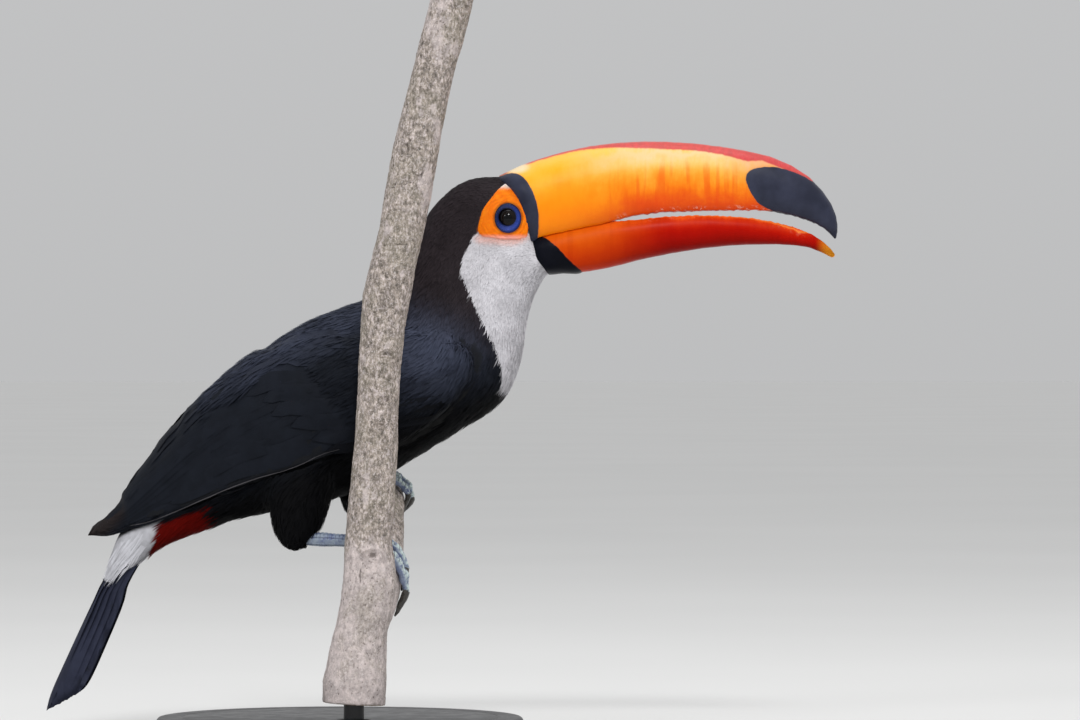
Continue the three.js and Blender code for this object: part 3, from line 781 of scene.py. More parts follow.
def trace(surface, spots, normals, lie, lengths, steps, straight=False):
    """Lines along a surface from spots, following the lie, as arrays of points and normals.

    Straight lines go on where the surface turns away from them.
    """
    lines = np.zeros((len(spots), steps + 1, 3))
    tops = np.zeros_like(lines)
    for n, (spot, normal, ahead, length) in enumerate(zip(spots, normals, lie, lengths)):
        place, top = spot, normal
        lines[n, 0], tops[n, 0] = place, top
        for k in range(1, steps + 1):
            ahead = ahead - top * (ahead @ top)
            ahead = ahead / max(math.sqrt(ahead @ ahead), 1e-6)
            onward = place + ahead * (length / steps)
            place, face_top = surface.nearest(onward)
            if straight and face_top @ normal < 0.35:
                place, face_top = onward, top
            top = 0.5 * top + 0.5 * face_top
            top = top / math.sqrt(top @ top)
            lines[n, k], tops[n, k] = place, top
    return lines, tops


TUFT_STEPS = 3
TUFT_PROFILE = (0.55, 1.0, 0.8)  # a tuft's width in its rings, before its point, over its full width


def tufts(lines, tops, widths, lifts, thickness):
    """Closed, flat, pointed blades along lines: their points, faces, and places across and along."""
    count, rings = len(lines), TUFT_STEPS
    centres = lines + tops * lifts[..., None]
    ahead = unit(np.gradient(centres, axis=1))
    aside = unit(np.cross(tops, ahead))
    parts, across, along = [], [], []
    for k in range(rings):
        half = (widths * TUFT_PROFILE[k] / 2)[:, None] * aside[:, k]
        rise = tops[:, k] * (thickness * TUFT_PROFILE[k])[:, None]
        parts += [centres[:, k] - half, centres[:, k] + rise, centres[:, k] + half]
        across += [-0.5, 0.0, 0.5]
        along += [k / rings] * 3
    points = np.stack([*parts, centres[:, rings]], 1)
    across.append(0.0)
    along.append(1.0)
    size_of = points.shape[1]
    end, tip = 3 * (rings - 1), size_of - 1
    sides = ((0, 1), (1, 2), (2, 0))
    quads = [(k + a, k + 3 + a, k + 3 + b, k + b) for k in range(0, end, 3) for a, b in sides]
    triangles = [(end + a, tip, end + b) for a, b in sides] + [(0, 1, 2)]
    starts = (np.arange(count) * size_of)[:, None, None]
    faces = [(starts + np.array(block)[None]).reshape(-1, len(block[0])) for block in (quads, triangles)]
    shares = np.tile(np.stack([across, along], 1), (count, 1))
    return points.reshape(-1, 3), faces, shares, size_of


PATCH = 0.003  # a tuft's patch on the map
STEEPEST = 0.2  # no tuft with a given lie grows where that runs more steeply than this into the skin
TAIL_WAY = (-0.58, 0.0, -0.81)  # the lie of the feathers over the tail
RUMP_END = -138.5  # none of those feathers grows further back than this x
# How the tufts of one coat differ: in length, width and height as factors, and how far their lie strays.
SPREAD = {"length": (0.75, 1.2), "width": (0.7, 1.3), "lift": (0.35, 1.15), "lie": 0.35}


def coat_piece(name, keep, material, slot, seed, ragged=0.35, width=1.0, length=1.0, lift=1.0,
               varied=0.1, way=None):
    """One coat of tufts over the skin, wherever keep says so. A way given is the lie of all of them."""
    plumage = settings("plumage")
    ground = coat_surface()

    def density(places):
        long = coat_length(places) * length
        return np.where(keep(places), plumage.cover / (long * tuft_width(long) * width * 0.6), 0.0)

    spots, normals = ground.sample(density, seed)
    lie = lie_of_coat(spots) if way is None else np.tile(unit(np.array(way)), (len(spots), 1))
    chosen = keep(spots)
    if way is not None:
        chosen &= np.abs((lie * normals).sum(1)) < STEEPEST
    spots, normals, lie = spots[chosen], normals[chosen], lie[chosen]
    rng = np.random.default_rng(seed + 1)
    count = len(spots)
    lengths = coat_length(spots) * length * rng.uniform(*SPREAD["length"], count)
    lie = unit(lie + ragged * rng.normal(0, SPREAD["lie"], (count, 3)))
    lines, tops = trace(ground, spots, normals, lie, lengths, TUFT_STEPS, way is not None)
    widths = tuft_width(lengths) * width * rng.uniform(*SPREAD["width"], count)
    share = np.linspace(0, 1, TUFT_STEPS + 1)
    height = lengths * plumage.depth_share * rng.uniform(*SPREAD["lift"], count) * lift
    lifts = height[:, None] * (share**0.7)[None] - ROOT_DEPTH
    points, faces, shares, size_of = tufts(lines, tops, widths, lifts, widths * 0.16)
    mesh = new_mesh(name, points, faces)
    flat = np.repeat(unwrap(spots), size_of, axis=0) + shares * PATCH
    give_map(mesh, flat)
    paint = markings(spots) * rng.uniform(1 - varied, 1 + varied, (count, 1))
    give_colour(mesh, np.repeat(np.clip(paint, 0, 1), size_of, axis=0))
    give_values(mesh, "along", shares[:, 1])
    soften(mesh, np.repeat(tops[:, 1], size_of, axis=0), plumage.softness)
    return add_piece(name, mesh, material, slot)


def tuft_width(lengths):
    """Short tufts are narrow, and longer ones broader."""
    return 0.5 * MM + 0.07 * lengths


def two_faced(upper, lower=None):
    """The values at a feather's points, over its upper face and then over its lower face."""
    lower = upper[1:-1, 1:-1] if lower is None else lower
    return np.concatenate([part.reshape(-1, upper.shape[-1]) for part in (upper, lower)])


class Vanes:
    """Gathers broad feathers, each a closed thin blade with a raised shaft, into one mesh."""

    SHAFT, THICKNESS = 0.07 * MM, 0.22 * MM
    CAMBER = 55 * MM  # the radius across a feather

    def __init__(self, along, across):
        self.along, self.across = along, across
        self.points, self.paint, self.places, self.barbs, self.facing = [], [], [], [], []
        columns = 2 * across + 1
        top = np.arange((along + 1) * columns).reshape(along + 1, columns)
        bottom = top.copy()
        inner = (along - 1) * (columns - 2)
        bottom[1:-1, 1:-1] = top.size + np.arange(inner).reshape(along - 1, columns - 2)
        upper = np.stack([top[:-1, :-1], top[1:, :-1], top[1:, 1:], top[:-1, 1:]], -1).reshape(-1, 4)
        under = np.stack([bottom[:-1, :-1], bottom[:-1, 1:], bottom[1:, 1:], bottom[1:, :-1]], -1)
        self.faces = np.concatenate([upper, under.reshape(-1, 4)])
        self.columns = columns

    def add(self, spine, tops, half_widths, paint, place):
        """One feather along a spine; half_widths is [left, right] for each place along it."""
        ahead = unit(np.gradient(spine, axis=0))
        aside = unit(np.cross(tops, ahead))
        steps = np.linspace(-1, 1, self.columns)
        widths = np.where(steps < 0, half_widths[:, :1], half_widths[:, 1:]) * steps
        sink = widths**2 / (2 * self.CAMBER)
        ridge = self.SHAFT * np.clip(1 - np.abs(steps) * self.across, 0, 1)[None]
        grid = spine[:, None] + aside[:, None] * widths[..., None]
        grid = grid + tops[:, None] * (ridge - sink)[..., None]
        under = grid[1:-1, 1:-1] - tops[1:-1, None] * (self.THICKNESS + ridge[..., 1:-1, None])
        self.points.append(two_faced(grid, under))
        facing = np.repeat(tops[:, None], self.columns, 1)
        self.facing.append(two_faced(facing, -facing[1:-1, 1:-1]))
        share = np.linspace(0, 1, len(spine))
        length = np.linalg.norm(np.diff(spine, axis=0), axis=1).sum()
        along = np.repeat(share[:, None], self.columns, 1)
        barbs = np.stack([along * length, widths, np.full_like(widths, len(self.points))], -1)
        self.barbs.append(two_faced(barbs))
        flat = two_faced(np.stack([along, np.repeat(steps[None], len(spine), 0)], -1))
        self.places.append(np.asarray(place)[None] + flat * np.array([1.0, 0.5]) * PATCH)
        self.paint.append(paint(flat[:, 0], flat[:, 1]))

    def mesh(self, name, ground, softness):
        """All feathers in one mesh, shaded partly as the smooth ground under them."""
        size_of = len(self.points[0])
        starts = (np.arange(len(self.points)) * size_of)[:, None, None]
        mesh = new_mesh(name, np.concatenate(self.points), [(starts + self.faces[None]).reshape(-1, 4)])
        give_map(mesh, np.concatenate(self.places))
        give_colour(mesh, np.clip(np.concatenate(self.paint), 0, 1))
        barbs = np.concatenate(self.barbs)
        layer = mesh.attributes.new(name="barbs", type="FLOAT_VECTOR", domain="POINT")
        layer.data.foreach_set("vector", barbs.astype(np.float32).ravel())
        smooth = ground.normals_at(vertex_array(mesh))
        agree = np.sign((smooth * np.concatenate(self.facing)).sum(1))
        soften(mesh, smooth * agree[:, None], softness)
        return mesh


def leaf(steps, width, root=0.45, widest=0.45, point=0.5, lean=0.0):
    """Half widths of a feather's two vanes: narrow at the root, rounded at the end."""
    t = np.linspace(0, 1, steps + 1)
    rise = root + (1 - root) * np.sin(np.clip(t / widest, 0, 1) * math.pi / 2)
    fall = np.clip(1 - ((t - widest) / (1 - widest)).clip(0, 1) ** (2 / point), 0, 1) ** 0.5
    half = width / 2 * np.maximum(rise * fall, 0.06)
    return np.stack([half * (1 - lean), half * (1 + lean)], 1)


# ---------------------------------------------------------------- materials

# The fixed shades of the finishes, beside the colours that a user may change.
SHADES = {
    "bright skin": "f59a1c", "pink skin": "e8a39a", "white skin": "ddd6d2",
    "lid rim": "0e0e16", "lid edge": "1b1626",
    "inner iris": "0e0908", "iris": "120c0b", "iris rim": "080608",
    # painted highlight: the pale honey band below the upper bill's ridge, over its yellow
    "honey": "e8bc70", "pale honey": "e2c598", "deep honey": "e8bb68",
    "root amber": "f27a02", "root orange": "f99404", "root gold": "fca90e", "root honey": "f9b64e",
    "ember": "c82a06", "hot ember": "ea5a1c",
    "root rust": "ba2a04", "root ember": "c63e02", "root flame": "dc640a",
    "amber tip": "f29a22", "worn horn": "f0b9a0", "worn rim": "f08a3c", "band stain": "8a5020",
    # painted highlight at the root of the bill's ridge
    "cream": "e6cfa6",
    # the plates' blue, and their pale painted highlight
    "blue plate": "626d90", "highlit plate": "c2d0ce",
    "olive crust": "85806e", "bleached bark": "d2c7c6", "pale dots": "ddd5d4", "late wood": "8a6238",
    "dust": "8a8680",
}


class Finish:
    """A node material in the making. Its methods add nodes and return their outputs."""

    def __init__(self, name):
        self.material = bpy.data.materials.new(name)
        self.material.use_nodes = True
        self.tree = self.material.node_tree
        self.tree.nodes.clear()
        self.place = self.add("ShaderNodeTexCoord").outputs["Object"]

    def add(self, kind, inputs=None, **choices):
        node = self.tree.nodes.new(kind)
        for choice, value in choices.items():
            setattr(node, choice, value)
        for socket, value in (inputs or {}).items():
            self.feed(node.inputs[socket], value)
        return node

    def feed(self, socket, value):
        """Links a socket to an output, or sets it to a number or a colour."""
        if isinstance(value, bpy.types.NodeSocket):
            self.tree.links.new(value, socket)
        else:
            socket.default_value = value

    def read(self, name, output="Fac"):
        return self.add("ShaderNodeAttribute", attribute_name=name).outputs[output]

    def stretched(self, scale, turn=(0, 0, 0)):
        inputs = {"Vector": self.place, "Scale": scale, "Rotation": turn}
        return self.add("ShaderNodeMapping", inputs).outputs["Vector"]

    def noise(self, scale, detail=3.0, rough=0.55, source=None):
        inputs = {"Vector": source or self.place, "Scale": scale, "Detail": detail, "Roughness": rough}
        return self.add("ShaderNodeTexNoise", inputs).outputs["Fac"]

    def cells(self, scale):
        return self.add("ShaderNodeTexVoronoi", {"Vector": self.place, "Scale": scale}).outputs["Distance"]

    def math(self, operation, first, second=0.0):
        return self.add("ShaderNodeMath", {0: first, 1: second}, operation=operation).outputs[0]

    def times(self, first, second):
        return self.math("MULTIPLY", first, second)

    def spread(self, value, low, high, to_low=0.0, to_high=1.0):
        inputs = {"Value": value, "From Min": low, "From Max": high, "To Min": to_low, "To Max": to_high}
        node = self.add("ShaderNodeMapRange", inputs, interpolation_type="SMOOTHSTEP")
        return node.outputs["Result"]

    def mix(self, share, first, second, blend="MIX"):
        node = self.add("ShaderNodeMix", data_type="RGBA", blend_type=blend)
        sockets = [s for s in node.inputs if s.enabled]
        for socket, value in zip(sockets, (share, first, second)):
            paint = isinstance(value, (tuple, str))
            self.feed(socket, self.rgba(value) if paint else value)
        return next(s for s in node.outputs if s.enabled)

    def rgba(self, paint):
        """A colour, or the fixed shade of a name, as a socket takes it."""
        return (*(tone(SHADES[paint]) if isinstance(paint, str) else paint), 1.0)

    def cover(self, paint, over, value, low, high, most=1.0):
        """A paint with another over it: none where a value is low, and most where it is high."""
        return self.mix(self.spread(value, low, high, 0.0, most), paint, over)

    def shade(self, paint, factor):
        """A paint made darker or lighter."""
        return self.mix(1.0, paint, factor, "MULTIPLY")

    def ramp(self, value, stops, blend="LINEAR"):
        node = self.add("ShaderNodeValToRGB", {"Fac": value})
        node.color_ramp.interpolation = blend
        elements = node.color_ramp.elements
        while len(elements) < len(stops):
            elements.new(0.5)
        for element, (position, paint) in zip(elements, stops):
            element.position = position
            element.color = self.rgba(paint)
        return node.outputs["Color"]

    def bump(self, height, strength, distance, under=None):
        inputs = {"Height": height, "Strength": strength, "Distance": distance}
        if under is not None:
            inputs["Normal"] = under
        return self.add("ShaderNodeBump", inputs).outputs["Normal"]

    def done(self, paint, roughness, normal, **sockets):
        inputs = {"Base Color": paint, "Roughness": roughness, "Normal": normal}
        inputs.update({name.replace("_", " "): value for name, value in sockets.items()})
        shader = self.add("ShaderNodeBsdfPrincipled", inputs)
        output = self.add("ShaderNodeOutputMaterial")
        self.tree.links.new(shader.outputs[0], output.inputs["Surface"])
        return self.material


def shade_of(paint, factor):
    """A colour made darker or lighter."""
    return tuple(min(channel * factor, 1.0) for channel in paint)


def plumage_finish(name, roughness, sheen, specular, root=0.72):
    """Feathers in the coat's own colours, darker at their roots."""
    finish = Finish(name)
    soft, fine = finish.noise(90.0), finish.noise(900.0, 2.0)
    dark = finish.spread(finish.read("along"), 0.0, 0.7, root, 1.0)
    dark = finish.times(dark, finish.spread(soft, 0.25, 0.75, 0.85, 1.12))
    paint = finish.shade(finish.read("tint", "Color"), dark)
    rough = finish.spread(fine, 0.3, 0.7, roughness - 0.08, roughness + 0.08)
    normal = finish.bump(fine, 0.25, 0.1 * MM)
    return finish.done(
        paint, rough, normal, Sheen_Weight=sheen, Sheen_Roughness=0.45, Specular_IOR_Level=specular
    )


def vane_finish(name):
    """Broad feathers, with fine barbs that slant away from the shaft."""
    finish = Finish(name)
    barbs = finish.add("ShaderNodeSeparateXYZ", {0: finish.read("barbs", "Vector")}).outputs
    slant = finish.math("SUBTRACT", barbs[0], finish.math("ABSOLUTE", barbs[1]))
    ripple = finish.math("SINE", finish.times(slant, 2 * math.pi / (0.7 * MM)))
    soft = finish.noise(120.0)
    paint = finish.shade(finish.read("tint", "Color"), finish.spread(soft, 0.25, 0.75, 0.86, 1.14))
    paint = finish.shade(paint, finish.spread(ripple, -1.0, 1.0, 0.93, 1.07))
    rough = finish.spread(soft, 0.2, 0.8, 0.49, 0.63)
    normal = finish.bump(ripple, 0.3, 0.05 * MM)
    return finish.done(
        paint, rough, normal, Sheen_Weight=0.01, Sheen_Roughness=0.4, Specular_IOR_Level=0.06
    )


def skin_finish():
    """The skin under the coat, in the coat's colours."""
    finish = Finish("skin_under_coat")
    soft = finish.noise(220.0)
    paint = finish.shade(finish.read("tint", "Color"), finish.spread(soft, 0.2, 0.8, 0.6, 0.85))
    normal = finish.bump(finish.noise(1400.0), 0.4, 0.15 * MM)
    rough = finish.spread(soft, 0.2, 0.8, 0.72, 0.9)
    return finish.done(paint, rough, normal, Specular_IOR_Level=0.2)


def patch_finish():
    """Bare orange skin, pinkish below; painted shade in its folds' hollows and a painted highlight on their
    crests.
    """
    finish = Finish("bare_orange_skin")
    pebbles = finish.cells(1100.0)
    # painted shade and highlight: darker in the folds' hollows, paler on their crests
    fold = finish.spread(finish.read("fold"), -1.0, 1.0, 0.86, 1.1)
    paint = finish.shade(finish.read("tint", "Color"), fold)
    paint = finish.cover(paint, "bright skin", finish.noise(160.0), 0.4, 0.75, 0.35)
    normal = finish.bump(pebbles, 0.35, 0.12 * MM)
    rough = finish.spread(pebbles, 0.0, 0.6, 0.42, 0.6)
    return finish.done(
        paint, rough, normal, Subsurface_Weight=0.06, Subsurface_Scale=1.5 * MM,
        Subsurface_Radius=paints("face", "patch")[0], Specular_IOR_Level=0.07,
    )


def ring_finish():
    """Blue lids, dark along the inner rim, with a painted highlight on the fold and painted shade outside
    it.
    """
    finish = Finish("blue_lids")
    blue, = paints("face", "ring")
    # shaded copies of the blue: a painted highlight on the fold, painted shade towards the outer rim
    paint = finish.ramp(finish.read("out"), [
        (0.0, "lid rim"), (0.13, shade_of(blue, 0.35)), (0.3, blue), (0.62, shade_of(blue, 1.15)),
        (0.82, shade_of(blue, 0.55)), (1.0, "lid edge"),
    ])
    pebbles = finish.cells(1500.0)
    paint = finish.shade(paint, finish.spread(pebbles, 0.0, 0.6, 1.12, 0.75))
    # painted light: one side of the lids lighter, the other darker
    paint = finish.shade(paint, finish.spread(finish.read("lit"), 0.0, 1.0, 0.3, 1.15))
    normal = finish.bump(pebbles, 0.5, 0.12 * MM)
    rough = finish.spread(finish.noise(500.0), 0.3, 0.7, 0.35, 0.5)
    return finish.done(paint, rough, normal, Specular_IOR_Level=0.14)


def eye_finish():
    """A dark brown iris round a black pupil, under a wet surface."""
    finish = Finish("wet_eye")
    pupil, = paints("face", "eye")
    streaks = finish.noise(700.0, 4.0)
    edge = finish.math("ADD", finish.read("out"), finish.spread(streaks, 0.3, 0.7, -0.02, 0.02))
    paint = finish.ramp(edge, [
        (0.0, pupil), (0.5, pupil), (0.56, "inner iris"), (0.78, "iris"), (0.9, "iris rim"),
    ])
    rough = finish.spread(streaks, 0.3, 0.7, 0.02, 0.06)
    return finish.done(paint, rough, finish.bump(streaks, 0.02, 0.02 * MM), Specular_IOR_Level=0.17)


# The looks of the bill's halves, True for the upper one: the factor on its black, which lightens the upper
# half's black as a painted sky highlight and darkens the lower half's as painted shade, how much its cutting
# edge is worn and rimmed, and its gloss.
BILL_LOOKS = {
    True: {"black": 2.25, "worn": 0.7, "rim": 0.0, "gloss": 0.14},
    False: {"black": 0.35, "worn": 0.12, "rim": 0.55, "gloss": 0.04},
}


def upper_horn(finish, level, run, streaks, bars):
    """The upper bill: flame at its cutting edge, orange, yellow under a painted pale highlight, and a red
    ridge.
    """
    orange, yellow, flame, ridge = paints("bill", "orange", "yellow", "flame", "ridge")
    # yellow, with honey tones above it as a painted highlight below the ridge
    side = finish.ramp(level, [
        (0.0, flame), (0.16, shade_of(flame, 1.1)), (0.4, orange), (0.6, shade_of(yellow, 0.9)),
        (0.74, "honey"), (0.85, "pale honey"), (0.93, "deep honey"), (1.0, yellow),
    ], "B_SPLINE")
    base = finish.ramp(level, [
        (0.0, "root amber"), (0.5, "root orange"), (0.75, "root gold"), (1.0, "root honey"),
    ], "B_SPLINE")
    paint = finish.cover(base, side, run, 0.12, 0.42)
    paint = finish.cover(paint, shade_of(flame, 1.1), run, 0.62, 0.78, 0.35)
    stripe = finish.math("ADD", finish.read("ridge"), finish.spread(streaks, 0.3, 0.7, -0.2, 0.2))
    ridge_tone = finish.cover(shade_of(ridge, 0.92), shade_of(ridge, 1.15), streaks, 0.35, 0.65)
    paint = finish.cover(paint, ridge_tone, stripe, -0.6, 0.7, 0.95)
    barring = finish.times(finish.spread(bars, 0.5, 0.62), finish.spread(level, 0.85, 0.3))
    barring = finish.times(barring, finish.spread(run, 0.22, 0.4))
    return finish.mix(finish.times(barring, 0.5), paint, shade_of(flame, 1.1))


def lower_horn(finish, level, run, bars):
    """The lower bill: deep red below, darker there as painted shade, ember at its cutting edge, and an amber
    tip.
    """
    red, = paints("bill", "red")
    # deep red, in darker copies towards the bottom as painted shade
    side = finish.ramp(level, [
        (0.0, shade_of(red, 0.5)), (0.3, shade_of(red, 0.8)), (0.6, red), (0.88, "ember"),
        (1.0, "hot ember"),
    ], "B_SPLINE")
    base = finish.ramp(level, [(0.0, "root rust"), (0.5, "root ember"), (1.0, "root flame")], "B_SPLINE")
    paint = finish.cover(base, side, run, 0.15, 0.5)
    paint = finish.cover(paint, "amber tip", run, 0.93, 0.99)
    return finish.cover(paint, shade_of(red, 0.8), bars, 0.52, 0.68, 0.15)


def bill_finish(name, upper):
    """Waxy horn: colour bands fading into each other, painted highlights and shade, fine growth streaks and
    soft wear.
    """
    look = BILL_LOOKS[upper]
    finish = Finish(name)
    run = finish.read("run")
    cloud = finish.noise(55.0, 4.0)
    streaks = finish.noise(1.0, 4.0, 0.7, finish.stretched((420.0, 200.0, 90.0)))
    wobble = finish.spread(cloud, 0.25, 0.75, -0.1, 0.1)
    wobble = finish.math("ADD", wobble, finish.spread(streaks, 0.25, 0.75, -0.03, 0.03))
    level = finish.math("ADD", finish.read("height"), wobble)
    bars = finish.noise(1.0, 2.0, 0.6, finish.stretched((200.0, 12.0, 14.0)))
    if upper:
        paint = upper_horn(finish, level, run, streaks, bars)
    else:
        paint = lower_horn(finish, level, run, bars)
    crumbs = finish.spread(finish.noise(420.0, 4.0, 0.7), 0.53, 0.6)
    crumbs = finish.times(crumbs, finish.spread(finish.noise(70.0, 2.0), 0.42, 0.56))
    worn = finish.times(crumbs, finish.spread(finish.read("edge"), 3.0, 0.6))
    worn = finish.times(worn, finish.spread(run, 0.25, 0.4))
    paint = finish.mix(finish.times(worn, look["worn"]), paint, "worn horn")
    paint = finish.cover(paint, "worn rim", finish.read("edge"), 0.9, 0.2, look["rim"])
    jitter = finish.spread(finish.noise(300.0, 3.0), 0.3, 0.7, -0.14, 0.14)
    dark = finish.spread(finish.math("ADD", finish.read("dark"), jitter), -0.22, 0.22)
    # painted light: the upper half's black lightened as a sky highlight, the lower half's darkened as shade
    black = shade_of(*paints("bill", "black"), look["black"])
    black_tone = finish.cover(shade_of(black, 0.8), shade_of(black, 1.4), cloud, 0.3, 0.7)
    seam = finish.math("ABSOLUTE", finish.math("ADD", finish.read("dark"), 0.45))
    paint = finish.cover(paint, "band stain", seam, 0.9, 0.0, 0.16)
    # painted highlight at the root of the ridge
    paint = finish.mix(finish.read("cream"), paint, "cream")
    paint = finish.mix(dark, paint, black_tone)
    grain = finish.noise(1.0, 4.0, 0.6, finish.stretched((160.0, 500.0, 900.0), turn=(0, 0.12, 0)))
    normal = finish.bump(grain, 0.16, 0.12 * MM)
    normal = finish.bump(finish.noise(60.0, 3.0), 0.25, 0.6 * MM, normal)
    rough = finish.spread(cloud, 0.25, 0.75, 0.3, 0.42)
    return finish.done(paint, rough, normal, Specular_IOR_Level=look["gloss"])


def leg_finish():
    """Blue-grey horny plates with dark seams and patches of pale painted highlight on their outer faces."""
    finish = Finish("leg_plates")
    skin, seam = paints("legs", "skin", "seam")
    pebbles, cloud = finish.cells(900.0), finish.noise(160.0, 4.0)
    paint = finish.cover("blue plate", skin, cloud, 0.35, 0.65)
    # painted highlight: pale patches where the skin faces away from the branch
    crest = finish.times(finish.spread(finish.noise(420.0, 3.0), 0.36, 0.54), finish.read("crest"))
    paint = finish.mix(crest, paint, "highlit plate")
    paint = finish.cover(paint, seam, finish.read("groove"), 0.4, 0.95, 0.85)
    paint = finish.cover(paint, seam, finish.noise(1300.0, 2.0), 0.62, 0.75, 0.5)
    rough = finish.spread(cloud, 0.3, 0.7, 0.45, 0.65)
    return finish.done(paint, rough, finish.bump(pebbles, 0.35, 0.15 * MM), Specular_IOR_Level=0.4)


def claw_finish():
    """Dark horn with fine lengthwise streaks."""
    finish = Finish("claw_horn")
    claw, = paints("legs", "claw")
    streaks = finish.noise(600.0, 4.0, 0.6)
    paint = finish.cover(shade_of(claw, 0.7), shade_of(claw, 2.0), streaks, 0.35, 0.7)
    rough = finish.spread(streaks, 0.3, 0.7, 0.3, 0.5)
    return finish.done(paint, rough, finish.bump(streaks, 0.25, 0.1 * MM), Specular_IOR_Level=0.5)


def bark_finish():
    """Pale speckled bark with lichen crusts, dark specks and cracks, and sawn ends."""
    bark, lichen, crack, heartwood = paints("perch", "bark", "lichen", "crack", "heartwood")
    finish = Finish("speckled_bark")
    cloud, mottle = finish.noise(38.0, 5.0, 0.6), finish.noise(230.0, 4.0, 0.65)
    grain = finish.noise(1.0, 4.0, 0.7, finish.stretched((620.0, 620.0, 380.0)))
    fine = finish.noise(1300.0, 3.0, 0.6)
    paint = finish.ramp(grain, [
        (0.36, shade_of(bark, 0.36)), (0.44, shade_of(bark, 0.72)), (0.53, bark), (0.62, lichen),
    ])
    paint = finish.shade(paint, finish.spread(mottle, 0.32, 0.68, 0.6, 1.2))
    paint = finish.cover(paint, "olive crust", cloud, 0.46, 0.62, 0.25)
    # paler towards the foot, and a little towards the top
    paler_ends = finish.read("pale")
    paint = finish.shade(paint, finish.spread(paler_ends, 0.0, 1.0, 1.04, 1.0))
    paint = finish.cover(paint, "bleached bark", paler_ends, 0.2, 1.0, 0.3)
    crust = finish.noise(1.0, 6.0, 0.7, finish.stretched((48.0, 48.0, 30.0)))
    crust = finish.math("ADD", crust, finish.spread(paler_ends, 0.0, 1.0, -0.03, 0.1))
    pale = finish.cover(shade_of(lichen, 0.72), shade_of(lichen, 1.1), mottle, 0.35, 0.65)
    paint = finish.cover(paint, pale, crust, 0.53, 0.61, 0.7)
    specks = finish.spread(finish.cells(300.0), 0.24, 0.12)
    specks = finish.times(specks, finish.spread(finish.noise(60.0), 0.4, 0.56))
    paint = finish.mix(finish.times(specks, 0.55), paint, crack)
    paint = finish.cover(paint, shade_of(crack, 0.7), finish.read("crack"), 0.15, 0.8, 0.85)
    paint = finish.cover(paint, "pale dots", finish.noise(900.0, 3.0, 0.7), 0.56, 0.64, 0.5)
    pits = finish.noise(760.0, 3.0, 0.7, finish.stretched((1.0, 1.0, 0.7)))
    paint = finish.cover(paint, crack, pits, 0.42, 0.35, 0.4)
    rings = finish.math("SINE", finish.times(finish.read("ring"), 2 * math.pi / (1.5 * MM)))
    wood = finish.mix(finish.spread(rings, -1.0, 1.0, 0.1, 0.5), heartwood, "late wood")
    paint = finish.mix(finish.read("cut"), paint, wood)
    normal = finish.bump(grain, 0.7, 0.5 * MM)
    normal = finish.bump(fine, 0.4, 0.2 * MM, normal)
    rough = finish.spread(cloud, 0.3, 0.7, 0.8, 0.95)
    return finish.done(paint, rough, normal, Specular_IOR_Level=0.2)


def stand_finish():
    """Satin black paint with a faint orange-peel texture and dust."""
    finish = Finish("satin_paint")
    stand, = paints("perch", "stand")
    peel, dust = finish.noise(900.0, 2.0), finish.noise(70.0, 5.0, 0.65)
    paint = finish.cover(stand, "dust", dust, 0.5, 0.8, 0.12)
    rough = finish.spread(dust, 0.3, 0.7, 0.32, 0.46)
    return finish.done(paint, rough, finish.bump(peel, 0.08, 0.08 * MM), Specular_IOR_Level=0.5)


def floor_finish():
    """A pale, matt studio floor with a slight cloudiness."""
    finish = Finish("studio_floor")
    pale, = paints("stage", "floor")
    cloud = finish.noise(1.3, 2.0)
    paint = finish.cover(shade_of(pale, 0.985), shade_of(pale, 1.01), cloud, 0.3, 0.7)
    rough = finish.spread(cloud, 0.3, 0.7, 0.88, 0.95)
    normal = finish.bump(finish.noise(600.0), 0.03, 0.2 * MM)
    return finish.done(paint, rough, normal, Specular_IOR_Level=0.1)


# ---------------------------------------------------------------- the pieces


class ToucanPiece:
    """What the operators share."""

    bl_options = {"REGISTER", "UNDO"}

    def execute(self, context):
        self.make()
        return {"FINISHED"}


class TOUCAN_OT_skin(ToucanPiece, bpy.types.Operator):
    """The skin of head, neck, trunk and thighs in one piece, below the coat by its depth"""

    bl_idname = "toucan.skin"
    bl_label = "Skin"

    BARE_DEPTH = 0.35 * MM  # below the bare skin round the eye
    EYE_DEPTH = 3.5 * MM  # further in behind the lids, so that the eyeball stands free
    EYE_EDGE = (1.12, 0.9)  # where that hollow begins and is in full, over the ring's radius

    def make(self):
        mesh = body_form().copy()
        places, normals = surface_of(mesh)
        depth = coat_length(places) * settings("plumage").depth_share + ROOT_DEPTH
        depth = np.where(within(EYE_PATCH, places) > -0.5, self.BARE_DEPTH, depth)
        around = from_eye(places) * MM / settings("face").ring_outer
        depth += self.EYE_DEPTH * smoothstep(*self.EYE_EDGE, around)
        put_points(mesh, places - normals * depth[:, None])
        give_map(mesh, unwrap(places))
        give_colour(mesh, markings(places))
        add_piece("skin", mesh, skin_finish(), "black_plumage", FLESH)


def bare(places):
    """Whether places are bare of feathers: round the eye and under the bill."""
    ahead = places[:, 0] / MM > line_x(FACE_LINE, places[:, 2] / MM) + 0.4
    return (within(EYE_PATCH, places) > -0.9) | ahead


def under_vanes(places):
    """Whether places lie where broad feathers cover the wings."""
    return (within(VANE_ZONE, places) > 0) & (wing_gap(places) < 8 * MM)


